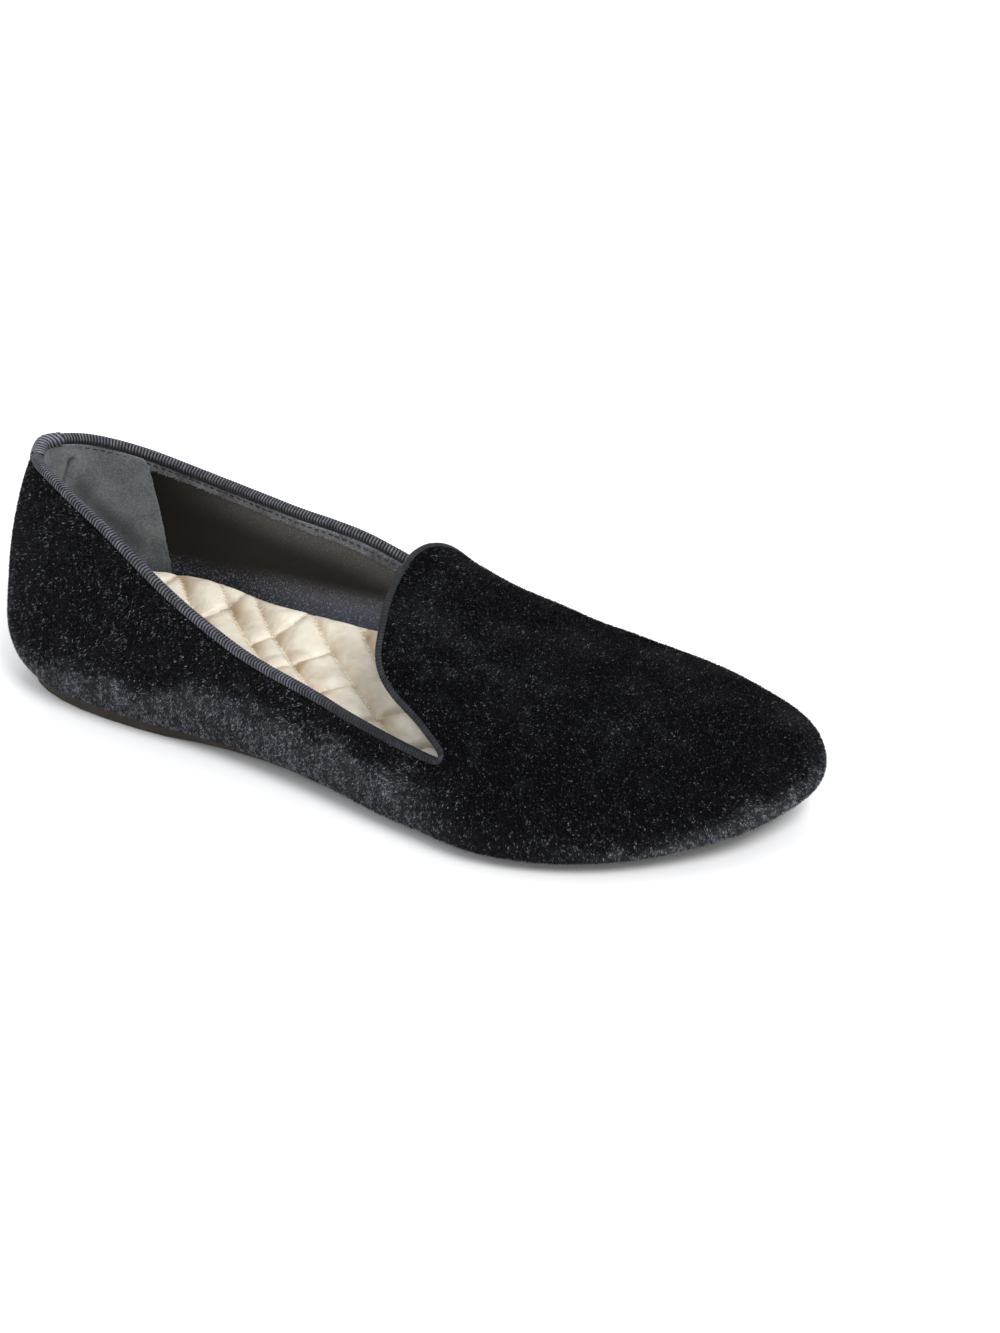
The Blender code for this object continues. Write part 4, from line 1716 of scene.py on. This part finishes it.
@dataclass
class Stitches:
    """Row of short threads, each one a thin rounded rod."""

    name: str
    finish: ThreadFinish
    slot: str
    radius: float = 0.00016
    bow: float = 0.6

    def build(self, starts: Array, ends: Array) -> Piece:
        """Makes the threads from where they come out to where they go in.

        Args:
            starts: first end of each thread.
            ends: second end of each thread.

        Returns:
            The finished piece.
        """
        bpy.ops.mesh.primitive_uv_sphere_add(segments=6, ring_count=5, radius=1.0)
        rod = bpy.context.object
        corners = positions(rod)
        faces = [np.array(face.vertices[:]) for face in rod.data.polygons]
        bpy.data.objects.remove(rod)
        length = np.linalg.norm(ends - starts, axis=1)[:, None, None]
        ahead = unit(ends - starts)
        across = unit(np.cross(ahead, np.array([0.1, 0.2, 1.0])))
        rise = corners[:, 1] * self.radius + (1 - corners[:, 2] ** 2) * self.radius * self.bow
        points = ((starts + ends) / 2)[:, None] + ahead[:, None] * corners[:, 2, None] * length / 2
        points = points + across[:, None] * corners[:, 0, None] * self.radius
        points = points + np.cross(across, ahead)[:, None] * rise[:, None]
        whole = [tuple(face + k * len(corners)) for k in range(len(starts)) for face in faces]
        mesh = bpy.data.meshes.new(self.name)
        mesh.from_pydata(points.reshape(-1, 3).tolist(), [], whole)
        mesh.update()
        mesh.shade_smooth()
        return dress(link(self.name, mesh), self.finish.material(), self.slot)


@dataclass
class QuiltStitches:
    """Threads in the seams of the quilting, as far as a look into the shoe reaches."""

    insole: QuiltedInsole
    cover: Piece
    finish: ThreadFinish = ThreadFinish("quilt_thread", (0.88, 0.81, 0.66, 1.0))
    pitch: float = 0.0021
    length: float = 0.0014
    proud: float = 0.00003
    farthest: float = 0.035
    lowest: float = 0.009

    def spots(self) -> tuple[Array, Array]:
        """Places and directions of the threads, seen from above.

        Returns:
            Middle points, and one direction for each.
        """
        middles, ways = [], []
        run = np.arange(-0.16, 0.16, self.pitch)
        for index, (along, normal, places) in enumerate(self.insole.families()):
            for place in places:
                line = normal * place + run[:, None] * along
                kept = np.abs(self.insole.offsets(line)[index]) < 1e-4
                middles.append(line[kept])
                ways.append(np.tile(along, (kept.sum(), 1)))
        return np.concatenate(middles), np.concatenate(ways)

    def build(self) -> Piece:
        """Makes the threads.

        Returns:
            The finished piece.
        """
        tree = BVHTree.FromObject(self.cover, bpy.context.evaluated_depsgraph_get())
        threads = []
        for middle, way in zip(*self.spots()):
            tips = []
            for spot in (middle - way * self.length / 2, middle + way * self.length / 2):
                hit, normal = ray_down(tree, spot)
                if hit is not None and normal.z > 0.5 and hit.z > self.lowest:
                    tips.append((*spot, hit.z + self.proud))
            if len(tips) == 2 and middle[0] <= self.farthest:
                threads.append(tips)
        starts, ends = np.array(threads).transpose(1, 0, 2)
        return Stitches("quilt_stitches", self.finish, "satin").build(starts, ends)


@dataclass
class CollarStitches:
    """Dark threads that hold the ribbon, in a line just below it on the inside."""

    lining: Lining
    finish: ThreadFinish = ThreadFinish("collar_thread", (0.006, 0.006, 0.008, 1.0))
    depth: float = 0.0031
    pitch: float = 0.0024
    length: float = 0.0017
    proud: float = 0.00042
    radius: float = 0.00018

    def build(self) -> Piece:
        """Makes the threads.

        Returns:
            The finished piece.
        """
        skin = self.lining.skin
        columns = np.linspace(0, skin.columns, 1500)
        rows = skin.rows_at(columns, self.depth)
        sheet = skin.pick(np.stack([columns, columns], 1), np.stack([rows, rows + 0.1], 1))
        line = skin.lifted(sheet, self.proud + self.lining.swell(sheet))[:, 0]
        run = lengths_of(line)
        begins = np.arange(0, run[-1] - self.pitch, self.pitch)
        tips = []
        for shift in (0.0, self.length):
            tips.append(np.stack([np.interp(begins + shift, run, axis) for axis in line.T], 1))
        return Stitches("collar_stitches", self.finish, "ribbon", self.radius).build(*tips)


@dataclass
class Outsole:
    """Thin rubber sole, with its edges eased."""

    finish: RubberFinish = RubberFinish()
    ease: float = 0.0003
    edge_angle: float = 40.0

    def build(self) -> Piece:
        """Makes the sole.

        Returns:
            The finished piece.
        """
        piece = merged_copy("outsole")
        piece.name = piece.data.name = "rubber_sole"
        apply_modifier(piece, "BEVEL", width=self.ease, segments=2, angle_limit=math.radians(self.edge_angle))
        choose(piece)
        bpy.ops.object.shade_smooth()
        return dress(piece, self.finish.material(), "sole_rubber", "outsole")


@dataclass
class Studio:
    """Pale floor, soft light and the photograph's camera."""

    floor: Colour = (0.93, 0.93, 0.93, 1.0)
    sky: Colour = (0.97, 0.98, 1.0, 1.0)
    sky_strength: float = 0.94
    lamps: tuple[tuple[str, Point, float, float], ...] = (
        ("key", (0.75, -0.55, 1.25), 0.6, 15.5),
        ("fill", (-1.0, -0.8, 0.9), 1.0, 2.5),
        ("back", (-0.5, 1.4, 1.3), 1.3, 7.0),
    )
    aim: Point = (0, 0, 0.03)
    azimuth: float = 27.4
    elevation: float = 30.41
    roll: float = -0.88
    lens: float = 63.5
    place: Point = (0.30035, -0.50610, 0.37136)

    def build_floor(self) -> None:
        """Lays the floor."""
        bpy.ops.mesh.primitive_plane_add(size=12.0)
        floor = bpy.context.object
        floor.name = "floor"
        recipe = Recipe("floor", Roughness=0.9, Specular_IOR_Level=0.05)
        recipe.colour(self.floor)
        floor.data.materials.append(recipe.material)

    def build_lights(self) -> None:
        """Hangs the soft lights and sets the world's light."""
        bpy.context.scene.view_settings.view_transform = "Standard"
        world = bpy.data.worlds.new("studio")
        bpy.context.scene.world = world
        world.use_nodes = True
        background = world.node_tree.nodes["Background"]
        background.inputs["Color"].default_value = self.sky
        background.inputs["Strength"].default_value = self.sky_strength
        for name, place, size, power in self.lamps:
            turn = (Vector(self.aim) - Vector(place)).to_track_quat("-Z", "Y").to_euler()
            bpy.ops.object.light_add(type="AREA", location=place, rotation=turn)
            lamp = bpy.context.object
            lamp.name = name
            lamp.data.shape = "DISK"
            lamp.data.size = size
            lamp.data.energy = power

    def build_camera(self) -> None:
        """Puts the camera where the photograph was taken from."""
        a, e, r = (math.radians(v) for v in (self.azimuth, self.elevation, self.roll))
        forward = Vector((-math.sin(a) * math.cos(e), math.cos(a) * math.cos(e), -math.sin(e)))
        right = Vector((math.cos(a), math.sin(a), 0))
        up = right.cross(forward)
        right, up = math.cos(r) * right + math.sin(r) * up, math.cos(r) * up - math.sin(r) * right
        turn = Matrix((right, up, -forward)).transposed()
        bpy.ops.object.camera_add(location=self.place, rotation=turn.to_euler())
        camera = bpy.context.object
        camera.data.lens = self.lens
        camera.data.sensor_width = 36.0
        camera.data.sensor_fit = "AUTO"
        camera.data.clip_end = 30.0
        camera.data.dof.use_dof = False
        bpy.context.scene.camera = camera

    def build(self) -> None:
        """Sets the whole stage."""
        self.build_floor()
        self.build_lights()
        self.build_camera()


def main() -> None:
    """Builds the shoe piece by piece, then the studio."""
    logging.basicConfig(level=logging.INFO, format="%(message)s")
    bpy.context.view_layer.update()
    outer, inner = read_upper()
    velvet = VelvetUpper(outer)
    velvet.build()
    VelvetPile(velvet).build()
    lining = Lining(inner)
    lining.build()
    HeelGrip(lining).build()
    for side in Side:
        RawStrip(lining, side=side).build()
    ribbon = ToplineRibbon(outer, inner)
    ribbon.build()
    RibbonOverlap(ribbon).build()
    CollarStitches(lining).build()
    insole = QuiltedInsole()
    cover = insole.build()
    QuiltStitches(insole, cover).build()
    Outsole().build()
    Studio().build()


if __name__ == "__main__":
    main()
